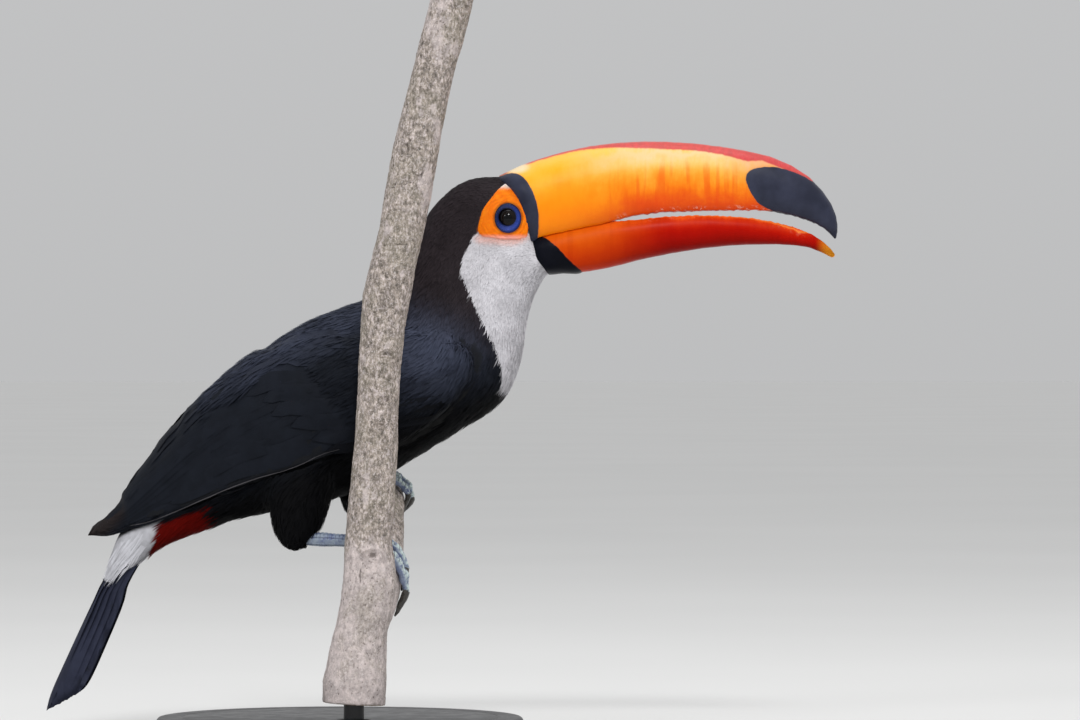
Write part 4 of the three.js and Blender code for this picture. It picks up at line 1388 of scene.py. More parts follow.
class TOUCAN_OT_coat(ToucanPiece, bpy.types.Operator):
    """The coats of small feathers: head, bib, body, rump, vent and wings"""

    bl_idname = "toucan.coat"
    bl_label = "Coat"

    HEAD_END, THROAT_END = 7.2 * MM, 5.5 * MM  # the tuft lengths at which head and throat end
    # The finish, slot and seed of each coat, and the looks of its tufts.
    COATS = {
        "head": ("black", "head_plumage", 11, {"ragged": 0.25}),
        "breast": ("black", "black_plumage", 12, {"ragged": 0.4}),
        "back": ("black", "black_plumage", 16, {"ragged": 0.25}),
        "throat": ("pale", "bib_plumage", 13, {"ragged": 0.25, "varied": 0.05}),
        "bib": ("pale", "bib_plumage", 19, {"ragged": 0.25, "varied": 0.05, "length": 0.75, "width": 0.6}),
        "vent": ("red", "tail_coverts", 14, {"ragged": 0.25, "length": 0.75, "width": 0.7}),
        "rump": ("pale", "tail_coverts", 15, {"ragged": 0.12, "length": 1.4, "width": 0.42, "lift": 0.6,
                                              "varied": 0.08, "way": TAIL_WAY}),
        "wing_right": ("black", "wing_feathers", 17, {"ragged": 0.3}),
        "wing_left": ("black", "wing_feathers", 18, {"ragged": 0.3}),
    }

    def make(self):
        finishes = {
            "black": plumage_finish("black_feathers", 0.6, 0.01, 0.05, root=0.88),
            "pale": plumage_finish("pale_feathers", 0.85, 0.05, 0.08, root=0.9),
            "red": plumage_finish("red_feathers", 0.75, 0.01, 0.04),
        }
        for name, (finish, slot, seed, looks) in self.COATS.items():
            covered = functools.partial(self.covers, name)
            coat_piece(f"coat_{name}", covered, finishes[finish], slot, seed, **looks)

    def covers(self, name, places):
        """Whether a coat covers places."""
        on_bib, on_vent, on_rump = (within(outline, places) > 0 for outline in (BIB, VENT, RUMP))
        on_body, hidden = by_wing(places) < 0.5, under_vanes(places)
        if name == "vent":
            return on_vent & on_body
        if name == "rump":
            return on_rump & on_body & ~hidden & (places[:, 0] > RUMP_END * MM)
        length, shown = coat_length(places), ~(bare(places) | hidden)
        if name in ("throat", "bib"):
            return on_bib & shown & ((length < self.THROAT_END) == (name == "throat"))
        dark = shown & ~(on_bib | on_vent & on_body | on_rump)
        if name == "head":
            return dark & (length < self.HEAD_END)
        dark &= length >= self.HEAD_END
        if name in ("breast", "back"):
            return dark & on_body & ((lie_height(places) < 0) == (name == "breast"))
        return dark & ~on_body & (places[:, 1] * SIDES[name.removeprefix("wing_")] > 0)


def wing_point(rows, across, side):
    """Places on a folded wing's outer form. Across runs from its lower edge, 0, to its upper edge, 1."""
    form = rows_at(WING_FORM, rows) * MM
    power = WING_FULLNESS / 2
    angles = []
    for column in (1, 2):
        height = 2 * np.interp(rows, WING_REACH[:, 0], WING_REACH[:, column]) - 1
        angles.append(np.arccos(np.clip(np.sign(height) * np.abs(height) ** power, -1, 1)))
    angle = np.maximum(angles[0] + (angles[1] - angles[0]) * across, 0.015)
    cosine, sine = np.cos(angle), np.sin(angle)
    along = np.sign(cosine) * np.abs(cosine) ** (1 / power)
    out = np.abs(sine) ** (1 / power) * form[..., 4]
    x = (form[..., 0] + form[..., 2] + along * (form[..., 0] - form[..., 2])) / 2
    z = (form[..., 1] + form[..., 3] + along * (form[..., 1] - form[..., 3])) / 2
    return np.stack([x, side * out, z], -1)


def wing_normal(rows, across, side):
    """Which way a folded wing's outer form faces."""
    step = 0.04
    ahead = wing_point(rows + step, across, side) - wing_point(rows - step, across, side)
    aside = wing_point(rows, across + step, side) - wing_point(rows, across - step, side)
    return unit(side * np.cross(ahead, aside))


# Groups of wing feathers from the lowest layer to the top one. Rows count along the wing from its bend;
# across runs from its lower edge to its upper one. Each has the first and the last feather's values.
WING_GROUPS = {
    "primaries": {"count": 8, "rows": (5.2, 4.9), "ends": (11.1, 9.4), "across": (0.05, 0.42),
                  "spread": (0.08, 0.5), "width": (13, 15), "lift": (-2.2, -1.0), "step": 0.2},
    "secondaries": {"count": 10, "rows": (4.0, 4.4), "ends": (7.5, 9.3), "across": (0.1, 0.92),
                    "spread": (0.12, 0.94), "width": (15, 20), "lift": (-1.7, -0.9), "step": 0.06},
    "greater_coverts": {"count": 10, "rows": (3.3, 3.9), "ends": (5.0, 5.8), "across": (0.03, 0.9),
                        "spread": (0.04, 0.92), "width": (12, 15), "lift": (-1.4, -0.3), "step": 0.05},
    "median_coverts": {"count": 10, "rows": (2.8, 3.4), "ends": (4.1, 4.7), "across": (0.03, 0.9),
                       "spread": (0.04, 0.92), "width": (11, 13), "lift": (-1.2, 0.0), "step": 0.03},
}
# The bare pale shaft of the lowest primary.
QUILL = {"rows": (4.8, 9.0), "across": (0.04, 0.02), "width": 0.55 * MM, "lift": (0.1 * MM, -0.1 * MM),
         "tint": tone("4e4c4f")}


class TOUCAN_OT_wings(ToucanPiece, bpy.types.Operator):
    """The folded wings: flight feathers in stacked layers, and the coverts over them"""

    bl_idname = "toucan.wings"
    bl_label = "Wings"

    BASE_DEPTH = 1.5  # millimetres from the wing's form to the base under its feathers
    TUCK = 0.5  # the least that the base lies below the coat's roots
    ON_COAT = (8.5, 6.5)  # the rows from where the feathers rest on the coat, at first and in full
    WORN = (0.72, 1.0)  # where along an old feather its brown tip begins and is in full

    def make(self):
        finish = vane_finish("wing_vanes")
        base = skin_finish()
        for name, side in SIDES.items():
            node = f"wing_{name}"
            mesh = refined([node], 1.4 * MM, 6)
            places = vertex_array(mesh) - vertex_array(mesh, "normal") * self.BASE_DEPTH * MM
            put_points(mesh, coat_surface().tucked(places, self.TUCK * MM))
            give_map(mesh, unwrap(places))
            give_colour(mesh, np.tile(np.array(settings("plumage").black) * 0.7, (len(places), 1)))
            self.ground = Surface(mesh)
            add_piece(f"wing_base_{name}", mesh, base, "wing_feathers", [node])
            add_piece(f"flight_feathers_{name}", self.flight(side), finish, "wing_feathers")
            add_piece(f"wing_coverts_{name}", self.coverts(side), finish, "wing_feathers")

    def lay(self, vanes, side, rows, across, width, lift, worn=0.0, lean=0.0, point=0.5, tint=None):
        """One feather from its first row to its last."""
        plumage = settings("plumage")
        share = np.linspace(0, 1, vanes.along + 1)
        row = rows[0] + (rows[1] - rows[0]) * share
        place = across[0] + (across[1] - across[0]) * share
        tops = wing_normal(row, place, side)
        spine = wing_point(row, place, side)
        front = smoothstep(*self.ON_COAT, row)
        coat = np.array([np.concatenate(coat_surface().nearest(spot)) for spot in spine])
        raised = coat[:, :3] + coat[:, 3:] * plumage.wing_sink
        tops = unit(blended(tops, coat_surface().normals_at(spine), front))
        spine = blended(spine, raised, front) + tops * (lift[0] + (lift[1] - lift[0]) * share)[:, None]
        # the black along the feather, with its painted sky light and shade
        black, brown = black_at(spine), np.array(plumage.worn)
        tone_of = self.rng.uniform(0.9, 1.1)

        def paint(along, _):
            if tint is not None:
                return np.tile(np.array(tint), (len(along), 1))
            own = np.stack([np.interp(along, share, channel) for channel in black.T], 1) * tone_of
            return blended(own, brown, worn * smoothstep(*self.WORN, along))

        half = leaf(vanes.along, width, lean=lean * side, point=point)
        flat = (0.03 + 0.9 * rows[0] / 12, 0.05 + 0.9 * across[0])
        vanes.add(spine, tops, half, paint, flat)

    def lay_group(self, vanes, side, kind, worn=0.0, lean=0.15, point=0.6):
        """One layer of feathers, from the lower edge of the wing to the upper one."""
        group = WING_GROUPS[kind]
        for share in np.linspace(0, 1, group["count"]):
            start, end, low, high, width = (
                first + (last - first) * share
                for first, last in (group[key] for key in ("rows", "ends", "across", "spread", "width"))
            )
            lift = (np.array(group["lift"]) + share * (group["count"] - 1) * group["step"]) * MM
            rows = (start, end + self.rng.uniform(-0.07, 0.07))
            self.lay(vanes, side, rows, (low, high), width * MM, lift, worn, lean, point)

    def flight(self, side):
        self.rng = np.random.default_rng(21)
        vanes = Vanes(22, 4)
        self.lay_group(vanes, side, "primaries", worn=0.8, lean=0.55, point=0.5)
        self.lay(vanes, side, **QUILL)
        self.lay_group(vanes, side, "secondaries", lean=0.2, point=0.5)
        return vanes.mesh("flight_feathers", self.ground, 0.88)

    def coverts(self, side):
        self.rng = np.random.default_rng(22)
        vanes = Vanes(12, 3)
        for kind in ("greater_coverts", "median_coverts"):
            self.lay_group(vanes, side, kind, point=0.9)
        return vanes.mesh("wing_coverts", self.ground, 0.92)


class TOUCAN_OT_tail(ToucanPiece, bpy.types.Operator):
    """The folded tail: five pairs of feathers stacked like a low roof"""

    bl_idname = "toucan.tail"
    bl_label = "Tail"

    PAIRS = 5
    ROWS, SHORTER = 6.0, 0.14  # how far the upper feathers reach, and what each layer below them lacks
    FAN = (0.14, 0.26)  # turns of the uppermost pair and of each one below it, in radians
    DEPTH = (0.5, 0.2, 0.08)  # millimetres of the uppermost, of each layer, and of the left ones more
    NARROW = 0.94  # how much narrower the stack is than the solid tail

    def make(self):
        rng = np.random.default_rng(31)
        vanes = Vanes(20, 4)
        slate, = paints("plumage", "tail")
        share = np.linspace(0, 1, vanes.along + 1)
        level = np.zeros(len(share))
        first, each, left = self.DEPTH
        for layer in reversed(range(self.PAIRS)):
            form = rows_at(TAIL_FORM, share * (self.ROWS - self.SHORTER * layer)) * MM
            rise = np.stack([form[:, 0] - form[:, 2], level, form[:, 1] - form[:, 3]], 1)
            for side in SIDES.values():
                angle = side * (self.FAN[0] + self.FAN[1] * layer) * (0.75 + 0.25 * share)
                spine = np.stack([form[:, 2], level, form[:, 3]], 1) + rise * np.cos(angle)[:, None]
                spine[:, 1] = form[:, 4] * np.sin(angle) * self.NARROW
                tops = unit(rise) * np.cos(angle)[:, None]
                tops[:, 1] = np.sin(angle)
                tops = unit(tops)
                spine = spine - tops * (first + each * layer + (left if side > 0 else 0)) * MM
                tone_of = rng.uniform(0.96, 1.06)
                half = leaf(vanes.along, 14.5 * MM, root=0.6, widest=0.6, lean=-0.25 * side, point=0.75)

                def paint(along, _, tone_of=tone_of):
                    return np.repeat(np.array(slate)[None] * tone_of, len(along), 0)

                vanes.add(spine, tops, half, paint, (0.1 + 0.08 * layer, 0.4 + 0.2 * side))
        ground = Surface(refined(["tail"], 1.4 * MM, 4))
        mesh = vanes.mesh("tail_feathers", ground, 0.95)
        add_piece("tail_feathers", mesh, vane_finish("tail_vanes"), "tail_feathers", ["tail"])


class TOUCAN_OT_bill(ToucanPiece, bpy.types.Operator):
    """Upper and lower bill: waxy horn with notched cutting edges and a black rim at the base"""

    bl_idname = "toucan.bill"
    bl_label = "Bill"

    OVERLAP = 0.6  # millimetres that the shut edges run into each other
    TIP_SWELL = 0.7  # millimetres that smoothing takes off the lower tip
    EDGE_RISE = 0.9  # millimetres that smoothing takes off the lower cutting edge
    ROOT_SHIFT = 1.2  # millimetres that the horn's root runs back over the face
    ROOT_TUCK = 0.14  # share of its width that the root loses under the skin
    EASING = 120  # rounds that even out the shading over the horn's broad planes
    SOFTNESS = 0.8  # how far the horn is shaded by those evened normals
    ROOT, POINT, STEP = 104.0, 300.0, 3.0  # the steps along the bill in which its edges are measured
    STEPS = np.arange(ROOT, POINT, STEP)
    HORN = (105, 298)  # where the horn's colours begin and end
    GAPE = (180, 152)  # the edges close from the first of these places back to the second
    AJAR = 0.2  # millimetres that the open edges are drawn together
    TOOTH = 5.2  # millimetres from notch to notch
    NOTCHED = ((0.12, 0.3), (0.99, 0.93))  # where along the horn the notches set in and where they end
    NOTCH_REACH, MEET_REACH, RISE_REACH = 1.6, 3.5, 3  # how far above the edge each fades, in millimetres
    RISES = ((222, 250), (294, 285))  # where the lower edge's rise sets in and where it ends

    def make(self):
        meshes = {
            True: refined(["bill_upper"], 0.75 * MM, 12, swell=0.3 * MM),
            False: refined(["bill_lower"], 0.75 * MM, 10, swell=0.3 * MM),
        }
        self.edges = {upper: self.cutting_edge(mesh, upper) for upper, mesh in meshes.items()}
        for upper, mesh in meshes.items():
            self.shape(mesh, upper)
            node, slot = ("bill_upper", "bill_orange") if upper else ("bill_lower", "bill_red")
            finish = bill_finish("upper_horn" if upper else "lower_horn", upper)
            add_piece(f"{node}_horn", mesh, finish, slot, [node])

    def shape(self, mesh, upper):
        """Notches, rims and shades one half of the bill, and gives it what its finish reads."""
        places, normals = surface_of(mesh)
        x, _, z = (places / MM).T
        if upper:
            low, high = line_at(UPPER_TOMIUM, x), line_at(CULMEN, x)
            edge, band, tip = z - low, inside_by(UPPER_BAND, x, z), inside_by(TIP_PATCH, x, z)
        else:
            low, high = line_at(LOWER_EDGE, x), np.interp(x, self.STEPS, self.edges[False])
            edge, band, tip = high - z, inside_by(LOWER_BAND, x, z), np.full(len(x), -50.0)
        start, end = self.HORN
        run = (x - start) / (end - start)
        places[:, 2] += self.edge_shift(places, x, run, np.clip(edge, 0, None), upper)
        places += normals * self.proud(places, x, run, band, upper)[:, None]
        behind = line_x(FACE_LINE, z) - x
        places[:, 0] -= self.ROOT_SHIFT * MM * smoothstep(-2.2, 0.0, behind)
        tuck = self.ROOT_TUCK * (1 - 0.7 * smoothstep(314, 305, z)) if upper else self.ROOT_TUCK
        places[:, 1] *= 1 - tuck * smoothstep(-0.6, 1.2, behind)
        put_points(mesh, places)
        soften(mesh, eased_normals(mesh, self.EASING), self.SOFTNESS)
        spot = np.hypot((x - RIDGE_ROOT_HIGHLIGHT["x"]) / RIDGE_ROOT_HIGHLIGHT["wide"], (z - RIDGE_ROOT_HIGHLIGHT["z"]) / RIDGE_ROOT_HIGHLIGHT["high"])
        stripe = 1.5 + 3.2 * smoothstep(0.15, 0.5, run)
        give_values(mesh, "height", (z - low) / np.maximum(np.abs(high - low), 1.0))
        give_values(mesh, "run", run)
        give_values(mesh, "edge", np.abs(edge))
        give_values(mesh, "dark", np.maximum(band, tip))
        # where the painted highlight at the ridge's root lies
        give_values(mesh, "cream", smoothstep(1.2, 0.5, spot))
        give_values(mesh, "ridge", stripe - (high - z) if upper else np.full(len(x), -9.0))

    def edge_shift(self, places, x, run, above, upper):
        """How far places near the cutting edge are raised by its notches and where the bill is shut."""
        closed = smoothstep(*self.GAPE, x)
        reach = np.exp(-above / self.NOTCH_REACH) * (1 - closed)
        for fade in self.NOTCHED:
            reach *= smoothstep(*fade, run)
        saw = np.abs(((x / self.TOOTH) + 0.5 * lumps(places, 14 * MM)) % 1.0 - 0.4)
        ragged = saw + 0.5 * lumps(places, 2.2 * MM, 3)
        gap = np.interp(x, self.STEPS, self.edges[True] - self.edges[False])
        shut = (gap / 2 + self.OVERLAP) * closed + self.AJAR * (1 - closed)
        meet = np.exp(-((above / self.MEET_REACH) ** 2)) * shut
        shift = settings("bill").notch * (ragged - 0.4) * reach - meet * MM
        if upper:
            return shift
        raised = smoothstep(*self.RISES[0], x) * smoothstep(*self.RISES[1], x)
        return self.EDGE_RISE * MM * raised * np.exp(-((above / self.RISE_REACH) ** 2)) - shift

    def proud(self, places, x, run, band, upper):
        """How far places stand proud with the growth ripples, the rim at the base and the lower tip."""
        bill = settings("bill")
        ripples = lumps(places * np.array([1.0, 0.3, 0.3]), 4.5 * MM, 1)
        proud = bill.ripple * ripples * smoothstep(0.03, 0.15, run)
        proud += bill.rim * np.sin(math.pi / 2 * np.clip(band / 3.0 + 0.1, 0, 1))
        return proud if upper else proud + self.TIP_SWELL * MM * smoothstep(278, 290, x)

    def cutting_edge(self, mesh, upper):
        """The height of one bill's cutting edge, in steps along the bill, in millimetres."""
        x, y, z = (vertex_array(mesh) / MM).T
        sign = 1 if upper else -1
        sides = np.abs(y) > 0.55 * np.interp(x, [110, 200, 280, 298], [21, 17, 10, 3])
        bins = ((x[sides] - self.ROOT) / self.STEP).astype(int).clip(0, len(self.STEPS) - 1)
        edge = np.full(len(self.STEPS), np.inf)
        np.minimum.at(edge, bins, sign * z[sides])
        known = np.isfinite(edge)
        return np.interp(self.STEPS, self.STEPS[known], sign * edge[known])


def round_eye(radii, turns):
    """The x and z of places round the eye's middle, in metres."""
    return EYE["x"] * MM + radii * np.cos(turns), EYE["z"] * MM + radii * np.sin(turns)


class TOUCAN_OT_eyes(ToucanPiece, bpy.types.Operator):
    """Eyeballs, blue lids and the bare orange skin round them"""

    bl_idname = "toucan.eyes"
    bl_label = "Eyes"

    AROUND = 96
    TURNS = np.linspace(0, 2 * math.pi, AROUND, endpoint=False)
    CAP = (0.06, 2.4, 34)  # the eyeball's first and last ring in radians from its front, and how many
    LIFT = 0.12 * MM  # lids and bare skin over the form of the head
    LID_OVERLAP = 0.15 * MM  # how far the lids' inner rim sinks into the eyeball
    LID_SEAM = (0.45, 0.07, 0.12 * MM)  # place and width on the lids, as shares, and depth of their crease
    SKIN_START, SKIN_END = 0.6, 0.8  # millimetres that the bare skin runs in under lids and feathers
    PINK, WHITE = (303.5, 300.5), (329.4, 332.4)  # the heights between which the skin grows paler
    LID_SHADOW = (9.8, 8.0)  # millimetres from the eye's middle where the skin darkens towards the lids
    OPENING_SHIFT = 0.9  # millimetres from the ring's middle to the opening's
    OPENING_TURN = 2.1  # where the opening lies from the ring's middle, as an angle

    def make(self):
        eye_paint, ring_paint, patch_paint = eye_finish(), ring_finish(), patch_finish()
        for name, side in SIDES.items():
            add_piece(f"eyeball_{name}", self.ball(side), eye_paint, "eye", [f"eye_{name}"])
            add_piece(f"eyelids_{name}", self.lids(side), ring_paint, "head_plumage")
            add_piece(f"eye_patch_{name}", self.patch(side), patch_paint, "head_plumage")

    def polar(self, radii, heights, side, middle_height=None):
        """A sheet of rings round the eye's axis, from [ring, turn] radii and heights out from the middle."""
        x, z = round_eye(radii, self.TURNS)
        points = np.stack([x, side * heights, z], -1).reshape(-1, 3)
        quads, index = ring_faces(len(radii), self.AROUND)
        faces = [quads]
        if middle_height is not None:
            points = np.concatenate([points, [[EYE["x"] * MM, side * middle_height, EYE["z"] * MM]]])
            tip = np.full(self.AROUND, len(points) - 1)
            faces.append(np.stack([np.roll(index[0], -1), index[0], tip], -1))
        return points, faces if side > 0 else [block[:, ::-1] for block in faces]

    def ring_reach(self):
        """The ring's outer radius at each turn: it is a little taller than wide."""
        return settings("face").ring_outer / np.hypot(np.cos(self.TURNS), np.sin(self.TURNS) / RING_TALL)

    def ball(self, side):
        radius, middle = EYE["radius"] * MM, EYE["middle"] * MM
        angles = np.linspace(*self.CAP)[:, None]
        radii = np.repeat(radius * np.sin(angles), self.AROUND, 1)
        heights = middle + np.repeat(radius * np.cos(angles), self.AROUND, 1)
        points, faces = self.polar(radii, heights, side, middle + radius)
        mesh = new_mesh("eyeball", points, faces)
        give_values(mesh, "out", from_eye(points) * MM / settings("face").ring_inner)
        return mesh

    def surface_height(self, x, z, side):
        """How far out from the middle the head stands at x and z."""
        spot = body_surface().from_side(x, z, side)
        if spot is None:
            spot, _ = body_surface().nearest((x, side * 20 * MM, z))
        return abs(spot[1])

    def lids(self, side):
        face = settings("face")
        share = np.linspace(0, 1, 15)[:, None]
        radii = face.ring_inner + (self.ring_reach() - face.ring_inner) * share
        radii = radii + self.OPENING_SHIFT * MM * np.cos(self.TURNS - self.OPENING_TURN) * (1 - share)
        deep = math.sqrt((EYE["radius"] * MM) ** 2 - face.ring_inner**2)
        inner = EYE["middle"] * MM + deep - self.LID_OVERLAP
        spots = zip(*round_eye(self.ring_reach() - 0.2 * MM, self.TURNS))
        outer = np.array([self.surface_height(x, z, side) for x, z in spots]) + self.LIFT
        fold = face.lid_height * np.sin(math.pi * share**0.8) ** 0.7
        wrinkles = 0.09 * MM * np.sin(31 * self.TURNS + 4 * share) * np.sin(math.pi * share)
        place, width, depth = self.LID_SEAM
        wrinkles = wrinkles - depth * np.exp(-(((share - place) / width) ** 2))
        heights = inner + (outer - inner) * share + fold + wrinkles
        points, faces = self.polar(radii, heights, side)
        mesh = new_mesh("eyelids", points, faces)
        give_values(mesh, "out", np.repeat(share[:, 0], self.AROUND))
        # painted light: how lit each side of the lids is painted
        give_values(mesh, "lit", np.tile(0.5 + 0.5 * np.cos(self.TURNS + 0.7), len(share)))
        return mesh

    def patch(self, side):
        """Bare skin from the lids to the edge of the feathers, in shallow folds round the eye."""
        face = settings("face")
        reach = np.array([self.edge_reach(turn) for turn in self.TURNS]) + self.SKIN_END
        share = np.linspace(0, 1, 22)[:, None]
        start = self.ring_reach() / MM - self.SKIN_START
        radii = (start + (np.maximum(reach, start + 0.5) - start) * share) * MM
        x, z = round_eye(radii, self.TURNS)
        base = np.array([[self.surface_height(a, b, side) for a, b in zip(*row)] for row in zip(x, z)])
        spots = np.stack([x, base * side, z], -1).reshape(-1, 3)
        bend = lumps(spots, 3.2 * MM, 2).reshape(radii.shape) + 0.4 * np.cos(3 * self.TURNS)
        folds = np.sin(radii / MM * 2.6 + 3.4 * bend) * smoothstep(-0.35, 0.3, bend)
        fine = lumps(spots, 0.8 * MM, 5).reshape(radii.shape)
        raise_by = face.wrinkle * (0.3 * folds + 0.45 * fine) * np.sin(math.pi * share.clip(0.08, 0.92))
        sunk = 0.45 * smoothstep(0.08, 0.0, share) + 0.5 * smoothstep(0.9, 1.0, share)
        heights = base + self.LIFT + raise_by - sunk * MM
        points, faces = self.polar(radii, heights, side)
        mesh = new_mesh("eye_patch", points, faces)
        give_values(mesh, "fold", folds.ravel())
        z = points[:, 2] / MM
        skin = np.repeat(np.array(face.patch)[None], len(points), 0)
        skin = blended(skin, tone(SHADES["pink skin"]), 0.8 * smoothstep(*self.PINK, z))
        skin = blended(skin, tone(SHADES["white skin"]), smoothstep(*self.WHITE, z))
        shadow = smoothstep(*self.LID_SHADOW, from_eye(points, RING_TALL))
        give_colour(mesh, skin * (1 - 0.6 * shadow)[:, None])
        return mesh

    def edge_reach(self, turn):
        """How far the bare skin reaches from the eye's middle, in millimetres."""
        reach = np.linspace(4, 26, 89)
        x = EYE["x"] + reach * math.cos(turn)
        z = EYE["z"] + reach * math.sin(turn)
        inside = inside_by(EYE_PATCH, x, z) > 0
        return reach[inside].max() if inside.any() else 8.0


def from_branch(places):
    """How far places are ahead of the branch's middle, and above it."""
    return places[:, 0] - BRANCH_X, places[:, 2] - np.interp(places[:, 1], *BRANCH_AXIS.T)


def round_branch(places):
    """Turns round the branch from its top, in radians, for places near it."""
    return np.arctan2(*from_branch(places))


def along_branch_turn(places, away):
    """The way round the branch from its top at places, on the side that away gives."""
    turn = round_branch(places)
    return away * np.stack([np.cos(turn), np.zeros(len(places)), -np.sin(turn)], 1)


def plates(run, turn, size_of):
    """Seams from 0 to 1 between horny plates, broad on top of a toe and small below it."""
    top = smoothstep(-0.35, 0.25, np.cos(turn))
    step = run / size_of
    across = np.abs((step % 1.0) - 0.5) * 2
    rings = smoothstep(0.72, 0.98, across)
    rim = smoothstep(0.16, 0.03, np.abs(np.abs(turn) - 1.25))
    beads = 0.5 + 0.5 * np.cos(2 * math.pi * run / (0.45 * size_of)) * np.cos(turn * 7)
    return np.maximum(rings * top, rim * 0.8) + (1 - top) * 0.5 * beads


class TOUCAN_OT_legs(ToucanPiece, bpy.types.Operator):
    """Shanks and toes in horny plates, and the claws"""

    bl_idname = "toucan.legs"
    bl_label = "Legs"

    CLAW_REACH = 1.6  # millimetres that a claw's root runs on into its toe
    TOE_REACH = 2.0  # millimetres that a toe's end runs on over its claw
    JOINT_SWELL, JOINT_STEP = 0.35, 7.0  # height and spacing of a toe's joints, in millimetres
    CLAW_CURL = 3.0  # millimetres that a claw's point is drawn in towards the branch
    ROUND = 15 * MM  # the radius that a toe's turns round the branch are measured on
    CREST = (-0.5, 0.4)  # how squarely toe skin faces off the branch where its painted highlight begins and is full
    SHANK_CREST = 0.2  # how much of the pale painted highlight the shanks get
    PARTS = 18  # the lengths into which a limb is cut to find its middle
    TIP_TURN = 0.14  # how far round the branch a toe's end or a claw's root reaches, in radians

    def make(self):
        skin, horn = leg_finish(), claw_finish()
        for name in SIDES:
            for node in [f"shank_{name}"] + [f"toe_{i}_{name}" for i in TOE_NUMBERS]:
                add_piece(f"{node}_plates", self.plated(node), skin, "leg_skin", [node])
            for i in TOE_NUMBERS:
                node = f"claw_{i}_{name}"
                add_piece(f"{node}_horn", self.claw(node), horn, "claw", [node])

    def plated(self, node):
        legs, toe = settings("legs"), node.startswith("toe")
        mesh = refined([node], 0.34 * MM, 5)
        places, normals = surface_of(mesh)
        middle = places.mean(axis=0)
        _, _, axes = np.linalg.svd(places - middle, full_matrices=False)
        run = round_branch(places) * self.ROUND if toe else (places - middle) @ axes[0]
        centres = self.middle_line(places, run)
        away = unit(places - centres)
        up = self.outward(centres, node)
        ahead = unit(np.cross(up, np.array([0.0, 1.0, 0.0]))) if toe else axes[0][None]
        aside = unit(np.cross(ahead, up))
        turn = np.arctan2((away * aside).sum(1), (away * up).sum(1))
        seams = plates(run, turn, legs.plate)
        grain = lumps(places, 1.3 * MM) + 0.5 * lumps(places, 0.6 * MM, 2)
        proud = legs.relief * (0.35 - seams) + 0.16 * MM * grain
        crest = np.full(len(places), self.SHANK_CREST)
        if toe:
            proud += self.JOINT_SWELL * MM * np.cos(2 * math.pi * run / (self.JOINT_STEP * MM))
            # painted highlight on the toe's faces away from the branch
            crest = smoothstep(*self.CREST, (away * up).sum(1))
        places += normals * proud[:, None]
        if toe:
            turn = round_branch(places)
            away = np.sign(turn.mean())
            end = smoothstep((turn * away).max() - self.TIP_TURN, (turn * away).max(), turn * away)
            places += along_branch_turn(places, away) * (end * self.TOE_REACH * MM)[:, None]
        put_points(mesh, places)
        give_values(mesh, "groove", seams)
        give_values(mesh, "crest", crest)
        return mesh

    def middle_line(self, places, run):
        """The middle of the limb at each place's distance along it."""
        bins = np.linspace(run.min(), run.max() + 1e-9, self.PARTS + 1)
        index = np.clip(np.digitize(run, bins) - 1, 0, self.PARTS - 1)
        counts = np.maximum(np.bincount(index, minlength=self.PARTS), 1)
        means = [np.bincount(index, channel, self.PARTS) / counts for channel in places.T]
        at = (bins[1:] + bins[:-1]) / 2
        return np.stack([np.interp(run, at, mean) for mean in means], 1)

    def outward(self, centres, node):
        """Away from the branch for a toe or a claw, and upward for a shank."""
        if node.startswith("shank"):
            return np.tile([0.0, 0.0, 1.0], (len(centres), 1))
        ahead, above = from_branch(centres)
        return unit(np.stack([ahead, np.zeros(len(centres)), above], 1))

    def claw(self, node):
        mesh = refined([node], 0.24 * MM, 4)
        places, normals = surface_of(mesh)
        streaks = lumps(places * np.array([1.0, 1.0, 0.3]), 0.7 * MM)
        places += normals * (0.04 * MM * streaks)[:, None]
        turn = round_branch(places)
        away = np.sign(turn.mean())
        start = (turn * away).min()
        root = smoothstep(start + self.TIP_TURN, start, turn * away)
        middle = places[root > 0.3].mean(axis=0)
        places += (middle - places) * (0.3 * root)[:, None]
        span = (turn * away).max() - start
        curl = smoothstep(0.0, 0.7, (turn * away - start) / span)
        places -= self.outward(places, node) * (self.CLAW_CURL * MM * curl)[:, None]
        places -= along_branch_turn(places, away) * (root * self.CLAW_REACH * MM)[:, None]
        put_points(mesh, places)
        return mesh


# Old leaf scars and knots on the stem's front, as [x, z, size].
SCARS = [(30.4, 231.5, 5.2), (30.2, 204.5, 5.0), (27.4, 190, 3.6), (38, 296, 3.0), (25.4, 160, 2.6),
         (22, 113.5, 6.2), (17.5, 84, 3.2), (46, 352, 3.4), (28.8, 260, 2.8)]


